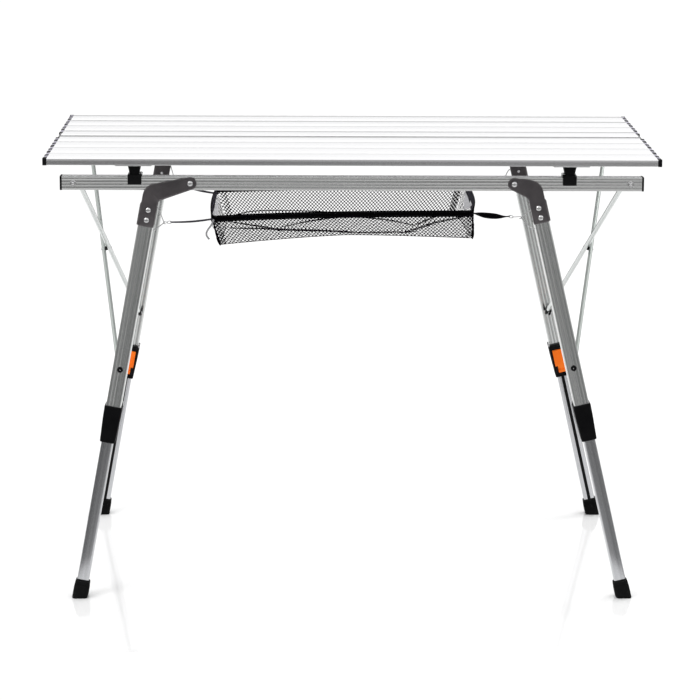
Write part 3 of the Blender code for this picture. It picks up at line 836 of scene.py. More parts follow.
def bracket(tag, side, leg):
    """Two pressed plates with a rolled rim, joined by a flange, and their rivets."""
    place = leg_place(side, leg)
    arm, end, lean = leg["arm"], leg["bracket_end"], leg["lean"]
    half = UPPER_WIDE / 2 + 0.6 * MM
    out, inner = arm + half, arm - half

    def turned(x, w):
        s, c = math.sin(lean), math.cos(lean)
        return (x * s + w * c, x * c - w * s)

    def corner(slope, sign, v, r):
        x, w = sign * r * math.sin(slope), -sign * r * math.cos(slope)
        t = (v - turned(x, w)[1]) / math.cos(slope + lean)
        return turned(x + t * math.cos(slope), w + t * math.sin(slope))

    top, under = leg["slopes"]

    def outline(shrunk):
        r = PIVOT_R - shrunk
        bend = arc(0, 0, r, 90 + math.degrees(under), 270 + math.degrees(top), 18)
        hub = [(*turned(px, pw), 0) for px, pw in bend]
        o, i, e = out - shrunk, inner + shrunk, end - shrunk
        return rounded(
            hub + [
                (*corner(top, 1, o, r), 20 * MM), (e, o, 1.4 * MM), (e, i, 1.4 * MM),
                (*corner(under, -1, i, r), 8 * MM)
            ],
            8
        )

    full, field = outline(0), outline(2.0 * MM)
    parts = []
    for sign in (-1, 1):
        face, back = sign * (PLATE_N + PLATE), sign * PLATE_N
        rings = [
            level(full, back), level(full, face - sign * 0.6 * MM), level(outline(0.5 * MM), face),
            level(outline(1.3 * MM), face), level(field, face - sign * 0.45 * MM)
        ]
        parts.append(skin(rings))
    start, lip = end - 32 * MM, PLATE_N + PLATE - 0.4 * MM
    parts.append(bevelled(prism([
        (start, out - 0.3 * MM), (start, out + 1.5 * MM), (end - 0.8 * MM, out + 1.5 * MM),
        (end - 0.8 * MM, out - 0.3 * MM)
    ], -lip, lip), 0.5 * MM, 2))
    make(f"bracket_plates_{tag}", place, joined(parts), GUNMETAL, f"leg_{tag}", [f"bracket_{tag}"], smooth=30)
    heads = []
    for sign, flip in ((-1, FACE_OUT), (1, IDENTITY)):
        n = sign * (PLATE_N + PLATE - 0.45 * MM)
        # outside: full heads; inside: smaller tails, set a little lower on the rear legs
        low = 5.5 * MM if side > 0 else 0.0
        first, second = leg["rivets"]
        for u, v, r in ((0, 0, 4.5), (first + low, arm, 4.3), (second + low / 2, arm, 4.3)):
            size = r if sign < 0 else r * 0.6
            heads.append(dome(size * MM, 2.5 * MM, at(u, v, n) @ flip))
    make(f"bracket_rivets_{tag}", place, joined(heads), STEEL, f"leg_{tag}")


def upper_leg(tag, side, leg):
    """Fluted tube with the bolt of the cross bar."""
    place = across(leg_place(side, leg), leg)
    outer = fluted(UPPER_WIDE, UPPER_DEEP, 2.4 * MM, [-4.9 * MM, 0, 4.9 * MM], 0.32 * MM, 1.9 * MM)
    inner = shrink(outer, BORE_WIDE, BORE_DEEP)
    bottom = leg["collar"] + COLLAR_TUBE
    rings = [level(outer, LEG_START), level(outer, bottom), level(inner, bottom), level(inner, LEG_START)]
    make(
        f"leg_tube_{tag}", place, skin(rings, closed=True), FRAME, f"leg_{tag}", [f"leg_upper_{tag}"],
        smooth=35
    )
    # bolt: a black plug with a bright tip outside, a hex head inside
    hole = place @ at(0, -UPPER_DEEP / 2, leg["bolt"]) @ tip(90)
    plug = lathe(mm((4.4, -1.2), (4.4, 0.35), (4.0, 0.55), (3.5, 0.35), (3.2, 0.05), (0.3, 0.05)))
    make(f"leg_plug_{tag}", hole, plug, BLACK, f"leg_{tag}")
    make(
        f"leg_plug_tip_{tag}", hole, dome(0.8 * MM, 0.8 * MM, at(-0.4 * MM, 0.5 * MM, 0.1 * MM), 16), STEEL,
        f"leg_{tag}"
    )
    inside = place @ at(0, UPPER_DEEP / 2, leg["bolt"]) @ tip(-90)
    head = lathe(mm((5.7, -0.6), (5.7, 0.5), (5.4, 0.7)), 28)
    hexagon = bevelled(prism(arc(0, 0, 4.9 * MM, 0, 300, 5), 0.4 * MM, 3.2 * MM), 0.35 * MM, 2)
    make(f"leg_bolt_{tag}", inside, joined([head, hexagon]), WIRE, f"leg_{tag}")


def collar(tag, side, leg):
    """Clamp housing with cheeks beside the lever, a brow over it and a small steel tab."""
    place = across(leg_place(side, leg), leg)
    top = leg["collar"]

    def ring(w, near, far, z, r=3 * MM):
        return level(box(w, near + far, r, 5, (0, (far - near) / 2)), z)

    steps = top + COLLAR_TUBE + 0.3 * MM
    rings = [
        ring(COLLAR_TOP - 1.8 * MM, 12.4 * MM, 15.9 * MM, top),
        ring(COLLAR_TOP - 0.5 * MM, 13.1 * MM, 17.2 * MM, top + 0.4 * MM),
        ring(COLLAR_TOP, 13.3 * MM, 17.5 * MM, top + 1.5 * MM),
        ring(COLLAR_TOP - 0.6 * MM, 13.0 * MM, 17.5 * MM, top + 20 * MM),
        ring(COLLAR_FOOT, 11.4 * MM, 15 * MM, top + COLLAR_LONG + 0.6 * MM),
        ring(COLLAR_FOOT - 0.3 * MM, 11.2 * MM, 14.8 * MM, top + COLLAR_LONG + 1.6 * MM),
        ring(COLLAR_FOOT - 1.2 * MM, 10.8 * MM, 14.4 * MM, top + COLLAR_LONG + 2 * MM),
        ring(BORE_WIDE, BORE_DEEP / 2, BORE_DEEP / 2, top + COLLAR_LONG + 2 * MM, 1 * MM),
        ring(BORE_WIDE, BORE_DEEP / 2, BORE_DEEP / 2, steps, 1 * MM),
        ring(UPPER_WIDE + 0.2 * MM, UPPER_DEEP / 2 + 0.1 * MM, UPPER_DEEP / 2 + 0.1 * MM, steps, 2 * MM),
        ring(UPPER_WIDE + 0.2 * MM, UPPER_DEEP / 2 + 0.1 * MM, UPPER_DEEP / 2 + 0.1 * MM, top, 2 * MM),
    ]
    parts = [skin(rings, closed=True)]
    near = LEVER_WIDE / 2 + 0.3 * MM
    # down the leg, base height, width there, outer height, width there, inner height
    cheek = mm(
        (2.2, 16, 12.6, 21, 12.2, 21.4), (26, 15.5, 12.1, 20.8, 11.8, 21.2), (45, 13, 11.3, 17.6, 11.0, 18.0)
    )
    for sign in (-1, 1):
        rings = []
        for down, base, wide, crest, narrow, peak in cheek:
            corners = [(near, base), (wide, base), (narrow, crest), (near, peak)]
            rings.append([Vector((sign * a, n, top + down)) for a, n in corners])
        parts.append(bevelled(skin(rings), 0.4 * MM, 2))
    brow = rounded([
        (16.4 * MM, top + 0.8 * MM, 0.4 * MM), (21.2 * MM, top + 1.6 * MM, 1.4 * MM),
        (21.6 * MM, top + 6.5 * MM, 0.4 * MM), (16.4 * MM, top + 6.5 * MM, 0)
    ], 3)
    brow_bm = skin([[Vector((v, n, u)) for n, u in brow] for v in (-12.6 * MM, 12.6 * MM)])
    parts.append(bevelled(brow_bm, 0.4 * MM, 2, 50))
    make(f"collar_shell_{tag}", place, joined(parts), BLACK, f"leg_{tag}", [f"collar_{tag}"], smooth=40)
    tab = block(-13.0 * MM, -10.6 * MM, 12.6 * MM, 16.6 * MM, top - 4.5 * MM, top + 1.5 * MM, 0.4 * MM, 2)
    make(f"collar_tab_{tag}", place, tab, STEEL, f"leg_{tag}")


def lever(tag, side, leg):
    """Orange clamp lever with a finger lip and a moulded line near its end."""
    place = leg_place(side, leg) @ at(0, leg["arm"], 0) @ SWAP_YZ
    top, low = leg["collar"] + 7 * MM, 17.9 * MM
    hub = [(x, y, 0) for x, y in arc(top + LEVER_HUB, low + LEVER_HUB, LEVER_HUB, 270, 90, 10)]
    notch = top + LEVER_LONG - 6.2 * MM
    shape = rounded(hub + [
        (top + 24 * MM, low + 4.6 * MM, 5 * MM),
        (notch - 0.9 * MM, low + 3.3 * MM, 0),
        (notch - 0.5 * MM, low + 2.3 * MM, 0),
        (notch + 0.5 * MM, low + 2.2 * MM, 0),
        (notch + 0.9 * MM, low + 3.1 * MM, 0),
        (top + LEVER_LONG, low + 2.6 * MM, 0.8 * MM),
        (top + LEVER_LONG, low - 0.3 * MM, 0),
        (top + 20 * MM, low, 0),
    ], 5)
    blade = bevelled(prism(shape, -LEVER_WIDE / 2, LEVER_WIDE / 2), 0.45 * MM, 2, 40)
    make(f"lever_blade_{tag}", place, blade, ORANGE, f"lever_body_{tag}", [f"lever_{tag}"], smooth=35)
    tab = block(
        top + 28 * MM, top + LEVER_LONG + 0.3 * MM, low + 1.2 * MM, low + 4.9 * MM,
        -LEVER_WIDE / 2 - 0.1 * MM, -LEVER_WIDE / 2 + 3.6 * MM, 0.4 * MM, 2
    )
    make(f"lever_tab_{tag}", place, tab, BLACK, f"lever_body_{tag}")


def foot_start(side, leg):
    """Distances down the leg to the floor and to the top of the foot."""
    place = leg_place(side, leg)
    a, b = place @ Vector((0, leg["arm"], 0)), place @ Vector((1, leg["arm"], 0))
    floor = a.z / (a.z - b.z)
    return floor, floor - FOOT_TALL


def lower_leg(tag, side, leg):
    """Channel, open along its inner face, with the black rack inside."""
    place = across(leg_place(side, leg), leg)
    start = foot_start(side, leg)[1]
    x, y, slot, wall = LOWER_WIDE / 2, LOWER_DEEP / 2, LOWER_SLOT / 2, LOWER_WALL
    half = [
        (-slot, y, 0.3 * MM), (-x, y, 2.6 * MM), (-x, -y, 2.6 * MM), (x, -y, 2.6 * MM), (x, y, 2.6 * MM),
        (slot, y, 0.3 * MM),
        (slot, y - wall, 0.3 * MM), (x - wall, y - wall, 1 * MM), (x - wall, -y + wall, 1 * MM),
        (-x + wall, -y + wall, 1 * MM), (-x + wall, y - wall, 1 * MM), (-slot, y - wall, 0.3 * MM),
    ]
    high = leg["collar"] + COLLAR_TUBE - LOWER_INSERT
    make(
        f"leg_channel_{tag}", place, prism(rounded(half, 4), high, start), LOWER, f"lower_{tag}",
        [f"leg_lower_{tag}"], smooth=35
    )
    rack = block(
        -slot - 1.2 * MM, slot + 1.2 * MM, y - wall - 3.2 * MM, y - wall - 0.6 * MM, high + 4 * MM, start,
        0.2 * MM, 1
    )
    make(f"leg_rack_{tag}", place, rack, BLACK, f"lower_{tag}")


def foot(tag, side, leg):
    """A rubber boot with a rolled lip and shallow ribs, cut level with the floor."""
    place = across(leg_place(side, leg), leg)
    floor, start = foot_start(side, leg)
    rings = []
    for w, d, z in (
        (19.2, 18.6, 2.7), (20.6, 20.0, 2.5), (21.4, 20.8, 3.0), (21.8, 21.2, 4.6), (22.4, 21.8, 7.0),
        (22.4, 21.8, 8.0), (22.0, 21.4, 8.5), (22.0, 21.4, 9.2), (22.7, 22.1, 9.8), (23.2, 22.6, 13)
    ):
        rings.append(level(box(w * MM, d * MM, 4.4 * MM, 6), start + z * MM))
    world = [place @ p for p in rings[-1]]
    axis = (place.to_3x3() @ UP).normalized()
    sole = [p - axis * ((p.z - 1.2 * MM) / axis.z) for p in world]
    middle = place @ Vector((0, 0, floor))
    back = place.inverted()
    rings.append([back @ p for p in sole])
    rings.append([
        back @ Vector((middle.x + (p.x - middle.x) * 0.93, middle.y + (p.y - middle.y) * 0.93, 0))
        for p in sole
    ])
    make(f"foot_boot_{tag}", place, skin(rings), RUBBER, f"lower_{tag}", [f"foot_{tag}"], smooth=45)


def ear_place(base, pin, reach, normal):
    """Axes from three directions, at a point."""
    place = Matrix((pin, reach, normal)).transposed().to_4x4()
    place.translation = base
    return place


def cross_bar(tag, side, leg):
    """Knuckle on the rail, bar, their pins, and the lug on the opposite leg."""
    start = long_frame(side) @ Vector((leg["side"] * KNUCKLE_X, 0, BAR_PIN_N))
    end = leg_place(-side, leg) @ Vector((leg["bolt"], leg["arm"], BAR_PIN_N))
    normal = inward_of(side)
    run = (end - start).normalized()
    pin = normal.cross(run).normalized()
    if pin.x * leg["side"] < 0:
        pin = -pin
    reach = (run - normal * run.dot(normal)).normalized()
    lie = 1 if side > 0 else -1
    low = RAIL_DEEP / 2 + 0.15 * MM

    def ear(base, foot, tip_half, r):
        high = BAR_PIN_N + 4 * MM
        outline = rounded([(-foot, base, 0), (-tip_half, high, r), (tip_half, high, r), (foot, base, 0)], 5)
        faces = sorted((-lie * 0.3 * MM, -lie * 2.9 * MM))
        return bevelled(skin([[Vector((a, b, c)) for b, c in outline] for a in faces]), 0.3 * MM, 2, 50)

    def shaft():
        ends = [Vector((a, 0, BAR_PIN_N)) for a in (-lie * 3.8 * MM, lie * 8.2 * MM)]
        return tube(ends, 1.4 * MM, 14)

    def round_bar(stations, grow):
        rings = []
        for z, wide, thin in stations:
            wide, thin = wide * grow, thin * grow
            rings.append([
                Vector((lie * BAR_OFFSET + BAR_R * thin * c, BAR_R * wide * s, z)) for c, s in circle(18)
            ])
        return skin(rings)

    knuckle = ear_place(start - normal * BAR_PIN_N, pin, reach, normal)
    disc = lathe([
        (KNUCKLE_R - 0.5 * MM, low), (KNUCKLE_R, low + 0.5 * MM),
        (KNUCKLE_R, low + 2.4 * MM), (KNUCKLE_R - 0.6 * MM, low + 3 * MM),
    ])
    ear_disc = joined([ear(low, 4.6 * MM, 4.6 * MM, 4 * MM), disc])
    make(f"knuckle_ear_{tag}", knuckle, ear_disc, BLACK, f"knuckle_body_{tag}", [f"knuckle_{tag}"], smooth=40)
    make(f"knuckle_pin_{tag}", knuckle, shaft(), STEEL, f"knuckle_body_{tag}")
    # lug and pin on the opposite leg
    inward = inward_of(-side)
    away = (-run + inward * run.dot(inward)).normalized()
    lug = ear_place(end - inward * BAR_PIN_N, pin, away, inward)
    far_tag = ("r" if side < 0 else "f") + tag[1]
    lug_ear = ear(UPPER_DEEP / 2, 4.4 * MM, 4.0 * MM, 3.8 * MM)
    make(f"leg_lug_{far_tag}", lug, lug_ear, BLACK, f"leg_{far_tag}")
    make(f"leg_lug_pin_{far_tag}", lug, shaft(), STEEL, f"leg_{far_tag}")
    # the bar, pressed flatter at its ends
    bar_place = ear_place(start, pin, run.cross(pin), run)
    long = (end - start).length
    far = long / MM
    stations = (
        (-2, 0.85, 0.7), (-1.5, 1.05, 0.78), (8, 1.1, 0.8), (20, 1.13, 1.12), (far - 20, 1.13, 1.12),
        (far - 8, 1.1, 0.8), (far + 1.5, 1.05, 0.78), (far + 2, 0.85, 0.7),
    )
    bar = round_bar([(z * MM, wide, thin) for z, wide, thin in stations], 1.04 if side < 0 else 0.9)
    make(
        f"bar_rod_{tag}", bar_place, bar, ROD if side < 0 else ROD_DULL, f"bar_body_{tag}", [f"bar_{tag}"],
        smooth=50
    )
    # black sleeve on the end at the leg
    stations = ((-9, 1.12, 0.9), (-8.4, 1.28, 1.0), (1.9, 1.28, 1.0), (2.5, 1.1, 0.85))
    sleeve = round_bar([(long + z * MM, wide, thin) for z, wide, thin in stations], 1)
    make(f"bar_sleeve_{tag}", bar_place, sleeve, BLACK, f"bar_body_{tag}", smooth=50)
    return start + pin * lie * BAR_OFFSET, end + pin * lie * BAR_OFFSET


def crossing(end_key, lines):
    """Spacer and rivet where two bars of one end pass each other."""
    (a0, a1), (b0, b1) = lines["f"], lines["r"]
    da, db = (a1 - a0).normalized(), (b1 - b0).normalized()
    w = a0 - b0
    k = da.dot(db)
    t = (k * db.dot(w) - da.dot(w)) / (1 - k * k)
    s = (db.dot(w) - k * da.dot(w)) / (1 - k * k)
    pa, pb = a0 + da * t, b0 + db * s
    axis = (pb - pa).normalized()
    gap = (pb - pa).length
    place = at(*pa) @ axis.to_track_quat("Z", "Y").to_matrix().to_4x4()
    washer = lathe([
        (2.6 * MM, BAR_R - 0.4 * MM), (3.2 * MM, BAR_R), (3.2 * MM, gap - BAR_R),
        (2.6 * MM, gap - BAR_R + 0.1 * MM)
    ])
    make(f"bar_spacer_{end_key}", place, washer, BLACK, f"bar_body_f{end_key}")
    make(
        f"bar_rivet_f{end_key}", place, dome(2.3 * MM, 1.3 * MM, at(0, 0, -BAR_R + 0.2 * MM) @ FACE_OUT, 20),
        STEEL, f"bar_body_f{end_key}"
    )
    make(
        f"bar_rivet_r{end_key}", place, dome(2.3 * MM, 1.3 * MM, at(0, 0, gap + BAR_R - 0.2 * MM), 20), STEEL,
        f"bar_body_r{end_key}"
    )


# ---------------------------------------------------------------- basket

CX = sum(BASKET_X) / 2
CORNERS = [
    Vector((RIM_ENDS[0], -BASKET_Y)), Vector((RIM_ENDS[1], -BASKET_Y)), Vector((RIM_ENDS[1], BASKET_Y)),
    Vector((RIM_ENDS[0], BASKET_Y))
]
RIM_R = 9 * MM
# on the right and left sides, how far the rim bows out and how far it lies over
SIDE_BULGE = {1: 3.5 * MM, 3: 2.0 * MM}
SIDE_TILT = {1: 0.95, 3: 0.4}
FRONT_BOW = 2.8 * MM
REAR_RAISE = 3.4 * MM
# flat lengths of the net: long and short walls, then the floor each way
NET_LONG, NET_SHORT, NET_FLOOR_X, NET_FLOOR_Y = 0.388, 0.228, 0.37, 0.208
# a strip of net lies a little off the pattern of the wall behind it
STRIP_SHIFT = (1.1 * MM, 0.7 * MM)
# divisions of a wall along its long and short sides and down
NET_COLUMNS, NET_ROWS, NET_DOWN = 250, 90, 36
# bottom corners, in the same order, and how far each hangs under the rim
FLOOR = [
    Vector((-198, -104)) * MM, Vector((184, -106)) * MM, Vector((170, 104)) * MM, Vector((-196, 104)) * MM
]
DROP = [41 * MM, 39 * MM, 38 * MM, 38 * MM]
MIDDLE_DROP = 31 * MM
# folds in the front wall: (x, drop) points, depth, width
FOLDS = [
    ([(-187, 4), (-150, 12), (-114, 19), (-60, 23), (-10, 26)], 5.0, 1.5),
    ([(-187, 14.5), (-100, 21), (-3, 27.5)], 4.0, 1.5),
    ([(-110, 17), (-60, 8), (-5, 3), (55, 9), (96, 19)], 3.5, 1.5),
    ([(174, 3.5), (130, 11.5), (100, 21), (71, 30)], 6.0, 1.7),
    ([(130, 2.5), (112, 9), (96, 17)], 5.0, 1.6),
    ([(96, 28), (40, 29), (-20, 29)], 3.0, 1.4),
]


def rim_z(x, y=-BASKET_Y):
    """Height of the rim's middle line."""
    return RIM_Z + (x - CX) * RIM_SLOPE - RIM_TALL / 2 + 0.8 * MM + REAR_RAISE * (1 + y / BASKET_Y)


def rim_side(k, a):
    """A point of the rim on side k (front, right, rear, left), its outward direction and tilt."""
    p, q = CORNERS[k], CORNERS[(k + 1) % 4]
    run = (q - p).normalized()
    out = Vector((run.y, -run.x))
    long = (q - p).length
    quarter = RIM_R * math.pi / 4
    straight = long - 2 * RIM_R
    s = a * (straight + 2 * quarter)
    if quarter <= s <= quarter + straight:
        flat, face = p + run * (RIM_R + s - quarter), out
    else:
        near = s < quarter
        angle = s / RIM_R - math.pi / 4 if near else (s - quarter - straight) / RIM_R
        centre = (p + run * RIM_R if near else q - run * RIM_R) - out * RIM_R
        flat = centre + out * RIM_R * math.cos(angle) + run * RIM_R * math.sin(angle)
        face = out * math.cos(angle) + run * math.sin(angle)
    swell = math.sin(math.pi * min(max((s - quarter) / straight, 0), 1))
    flat = flat + out * SIDE_BULGE.get(k, 0.0) * swell
    if k == 0:
        sag = -FRONT_BOW * math.sin(math.pi * a ** 0.75)
    else:
        sag = -0.5 * MM * swell
    point = Vector((flat.x, flat.y, rim_z(flat.x, flat.y) - sag))
    tilt = SIDE_TILT.get(k, 0.0) * swell
    return point, Vector((face.x, face.y, 0)), tilt


def bottom_side(k, a):
    """A point of the bottom edge on side k, sagging from the corners to the middle."""
    p, q = FLOOR[k], FLOOR[(k + 1) % 4]
    flat = p.lerp(q, a)
    hang = DROP[k] * (1 - a) + DROP[(k + 1) % 4] * a
    pull = 1 - abs(2 * a - 1) ** 1.35
    hang += (MIDDLE_DROP - hang) * pull
    run = (q - p).normalized()
    inward = Vector((-run.y, run.x)) * (5 * MM * math.sin(math.pi * a))
    return Vector((flat.x + inward.x, flat.y + inward.y, rim_z(flat.x) - hang))


def fold_depth(x, drop):
    """How far the front wall is pinched towards the front at a place."""
    total = 0.0
    for line, depth, width in FOLDS:
        best = 1e9
        along = 0.0
        for i in range(len(line) - 1):
            a, b = Vector(line[i]), Vector(line[i + 1])
            t = min(max((Vector((x, drop)) - a).dot(b - a) / (b - a).length_squared, 0), 1)
            d = (Vector((x, drop)) - a.lerp(b, t)).length
            if d < best:
                best, along = d, (i + t) / (len(line) - 1)
        fade = math.sin(math.pi * min(max(0.12 + 0.8 * along, 0), 1)) ** 0.5
        total += depth * fade * math.exp(-((best / width) ** 2))
    return total


def ripple(a, b, seed):
    """A slow and a quick wave, multiplied across two directions."""
    slow = math.sin(a * 7.3 + seed) * math.sin(b * 5.1 + seed * 1.7)
    return slow + 0.6 * math.sin(a * 17.9 + seed * 2.3) * math.sin(b * 11.3 + seed)


def wall_point(k, a, t):
    """A point of the wall on side k, t of the way from the rim to the bottom edge."""
    top, face, _ = rim_side(k, a)
    low = bottom_side(k, a)
    p = top.lerp(low, t)
    free = 4 * t * (1 - t)
    p += face * (1.6 * MM * free * (1 + 0.8 * ripple(a * 6, t * 2, k)))
    if k == 0:
        hang = (top.z - low.z) / MM
        pinch = Vector((0, -1, 0)) * fold_depth(top.x / MM, t * hang) * MM
        p += pinch * min(1, 6 * t) * min(1, 8 * (1 - t))
    return p


def floor_point(a, b):
    """A patch between the four bottom edges; a runs right, b runs to the rear."""
    f, r = bottom_side(0, a), bottom_side(2, 1 - a)
    left, right = bottom_side(3, 1 - b), bottom_side(1, b)
    c00, c10, c11, c01 = bottom_side(0, 0), bottom_side(0, 1), bottom_side(2, 0), bottom_side(2, 1)
    p = f * (1 - b) + r * b + left * (1 - a) + right * a
    p -= c00 * (1 - a) * (1 - b) + c10 * a * (1 - b) + c11 * a * b + c01 * (1 - a) * b
    mid = math.sin(math.pi * a) * math.sin(math.pi * b)
    p.z += mid * (1.5 + 0.9 * ripple(a * 5, b * 3, 4)) * MM
    return p


def net_mesh(columns, rows, down):
    """Four walls and the floor in one mesh; UVs are metres on the flat net."""
    bm = bmesh.new()
    uv = bm.loops.layers.uv.new("UVMap")

    def patch(place, count_a, count_b, long_a, long_b, slot=0):
        grid = [
            [bm.verts.new(place(i / count_a, j / count_b)) for i in range(count_a + 1)]
            for j in range(count_b + 1)
        ]
        for j in range(count_b):
            for i in range(count_a):
                face = bm.faces.new((grid[j][i], grid[j][i + 1], grid[j + 1][i + 1], grid[j + 1][i]))
                face.material_index = slot
                for corner, (p, q) in zip(face.loops, ((i, j), (i + 1, j), (i + 1, j + 1), (i, j + 1))):
                    corner[uv].uv = (p / count_a * long_a, q / count_b * long_b(p / count_a))

    for k in range(4):
        wide = k in (0, 2)
        long = NET_LONG if wide else NET_SHORT
        patch(
            lambda a, t, k=k: wall_point(k, a, t), columns if wide else rows, down if k == 0 else down // 2,
            long, lambda a, k=k: (rim_side(k, a)[0] - bottom_side(k, a)).length
        )
    patch(floor_point, columns, rows, NET_FLOOR_X, lambda a: NET_FLOOR_Y, 1)
    bmesh.ops.remove_doubles(bm, verts=bm.verts, dist=0.02 * MM)
    return bm


def net_strip(points, ups, width, taper=False):
    """A flat band of net along a line, as wide as width or narrowing at its ends."""
    bm = bmesh.new()
    uv = bm.loops.layers.uv.new("UVMap")
    rows, runs = [], [0.0]
    last = len(points) - 1
    for i, (p, u) in enumerate(zip(points, ups)):
        w = width * (0.3 + 0.7 * math.sin(math.pi * i / last) ** 0.6 if taper else 1.0)
        rows.append([(bm.verts.new(p + u * (w * q)), w * q) for q in (-0.5, 0, 0.5)])
        if i:
            runs.append(runs[-1] + (p - points[i - 1]).length)
    for i in range(last):
        for j in range(2):
            corners = ((i, j), (i, j + 1), (i + 1, j + 1), (i + 1, j))
            face = bm.faces.new([rows[p][q][0] for p, q in corners])
            for corner, (p, q) in zip(face.loops, corners):
                corner[uv].uv = (rows[p][q][1] + STRIP_SHIFT[0], runs[p] + STRIP_SHIFT[1])
    return bm


def basket():
    """Net tray with its rim, seams, gathers, bindings, gussets and tail."""

    def add(name, bm, mat, **more):
        make(f"basket_{name}", IDENTITY, bm, mat, "basket_body", **more)

    # rim webbing, all round
    path, ups = [], []
    for k in range(4):
        count = 70 if k in (0, 2) else 44
        for i in range(count):
            p, face, tilt = rim_side(k, i / count)
            path.append(p)
            ups.append(Vector((0, 0, math.cos(tilt))) + face * math.sin(tilt))
    band = tape(path, ups, BAND_TALL, 1.6 * MM, loop=True)
    make("basket_rim", IDENTITY, band, TAPE, "basket_body", ["basket"])
    # grey lining of the two side rims
    for end, k in (("r", 1), ("l", 3)):
        line, up = [], []
        for i in range(4, 41):
            p, face, tilt = rim_side(k, i / 44)
            line.append(p + (Vector((0, 0, math.sin(tilt))) - face * math.cos(tilt)) * 1.5 * MM)
            up.append(Vector((0, 0, math.cos(tilt))) + face * math.sin(tilt))
        add(f"rim_lining_{end}", tape(line, up, BAND_TALL * 0.94, 0.9 * MM), TAPE_GREY)
    sheet = net_mesh(NET_COLUMNS, NET_ROWS, NET_DOWN)
    net = make("basket_net", IDENTITY, sheet, NET, "basket_body", closed=False, smooth=60)
    net.data.materials.append(NET_OPEN)
    # front corner seams, with a pointed tail at the bottom
    for k, name in enumerate(("fl", "fr")):
        line, up = [], []
        for i in range(13):
            t = i / 12
            line.append(wall_point(0, 0.001 if k == 0 else 0.999, t) + Vector((0, -0.6 * MM, 0)))
            up.append(Vector((1, 0.4, 0)).normalized())
        line.append(line[-1] + Vector((0, 0, -1.5 * MM)))
        up.append(up[-1])
        widths = [2.4 * MM] * 6 + [3.4 * MM] * 3 + [4.6 * MM] * 2 + [3.8 * MM, 2.6 * MM, 1.0 * MM]
        add(f"seam_{name}", tape(line, up, widths, 1.0 * MM), TAPE)
    # doubled net beside the rear corners
    for name, a0 in (("rr", 0.018), ("rl", 0.98)):
        line = [wall_point(2, a0, i / 8) + Vector((0, -1.2 * MM, 0)) for i in range(9)]
        add(f"overlap_{name}", net_strip(line, [Vector((1, 0, 0))] * 9, 10 * MM), NET, closed=False)
    for name, k, a0, a1, wide in (
        ("fl", 0, 0.012, 0.02, 7), ("fr", 0, 0.988, 0.98, 6), ("sl", 3, 0.97, 0.97, 9),
        ("sr", 1, 0.03, 0.03, 8)
    ):
        side_on = Vector((1, 0, 0)) if k == 0 else Vector((0, 1, 0))
        ahead = Vector((0, -0.9 * MM if k == 0 else 0, 0))
        line = [wall_point(k, a0 + (a1 - a0) * i / 12, i / 12) + ahead for i in range(13)]
        add(f"overlap_{name}", net_strip(line, [side_on] * 13, wide * MM), NET, closed=False)
    # gathers pinched in the front wall
    rim_run = RIM_ENDS[1] - RIM_ENDS[0] - 2 * RIM_R + RIM_R * math.pi / 2
    for n, (line, depth, _) in enumerate(FOLDS):
        path = curve([Vector((x, drop, 0)) for x, drop in line], 10)
        points, ups = [], []
        for i, q in enumerate(path):
            a = (q.x * MM - RIM_ENDS[0] + RIM_R * (math.pi / 4 - 1)) / rim_run
            a = min(max(a, 0.001), 0.999)
            hang = (rim_side(0, a)[0].z - bottom_side(0, a).z) / MM
            points.append(wall_point(0, a, min(q.y / hang, 0.97)) + Vector((0, -0.8 * MM, 0)))
        for i in range(len(points)):
            run = (points[min(i + 1, len(points) - 1)] - points[max(i - 1, 0)]).normalized()
            ups.append(Vector((0, -1, 0)).cross(run).normalized())
        add(
            f"gather_{n}", net_strip(points, ups, (1.4 + depth * 0.35) * MM, True), NET_GATHERED, closed=False
        )
    # binding along the bottom edge
    loop = []
    for k in range(4):
        count = 60 if k in (0, 2) else 36
        loop += [bottom_side(k, i / count) for i in range(count)]
    loop.append(loop[0])
    add("bottom_binding", tube(loop, 0.55 * MM, 6), THREAD)
    # loose hem thread above the front rim
    hem = []
    for x, up in (
        (-186, 2), (-178, 4.5), (-165, 7.5), (-150, 10.2), (-125, 11), (-97, 10.2), (-56, 8.3), (-31, 6.5),
        (0, 4)
    ):
        hem.append(Vector((x * MM, -BASKET_Y + 2.5 * MM, rim_z(x * MM) + up * MM)))
    add("hem", tube(curve(hem, 8), 0.85 * MM, 6), THREAD)
    # satin gussets inside the side rims, each a creased triangle
    for name, back, outer, inner in (
        ("l", (-206, 55, 566), (-208.5, -100, 567), (-200, -94, 560)),
        ("r", (184.5, 90, 575), (185, -58, 574), (172, -56, 566)),
    ):
        bm = bmesh.new()
        rows = []
        back, outer, inner = (Vector(p) * MM for p in (back, outer, inner))
        for i in range(11):
            b = 0.05 + 0.95 * i / 10
            p, q = back.lerp(outer, b), back.lerp(inner, b)
            crease = Vector((0, 0, (1.2 + math.sin(b * 9)) * b * MM))
            rows.append([
                bm.verts.new(v) for v in (p, p.lerp(q, 0.35) - crease, p.lerp(q, 0.7) - crease * 0.5, q)
            ])
        for i in range(10):
            for j in range(3):
                bm.faces.new((rows[i][j], rows[i][j + 1], rows[i + 1][j + 1], rows[i + 1][j]))
        bmesh.ops.recalc_face_normals(bm, faces=bm.faces)
        bmesh.ops.solidify(bm, geom=bm.faces[:], thickness=0.5 * MM)
        add(f"gusset_{name}", bm, SATIN, smooth=60)
    # loose tape tail at the front left corner
    tail = (
        (-207, -116, 561), (-210, -117.5, 553), (-214.5, -118, 547),
        (-217.5, -118, 541), (-217, -117.5, 536), (-213.5, -117, 531),
    )
    tail = curve([Vector(p) * MM for p in tail], 6)
    add("tail", tape(tail, [Vector((1, 0.3, 0.15)).normalized()] * len(tail), 2.8 * MM, 0.8 * MM), TAPE_PALE)


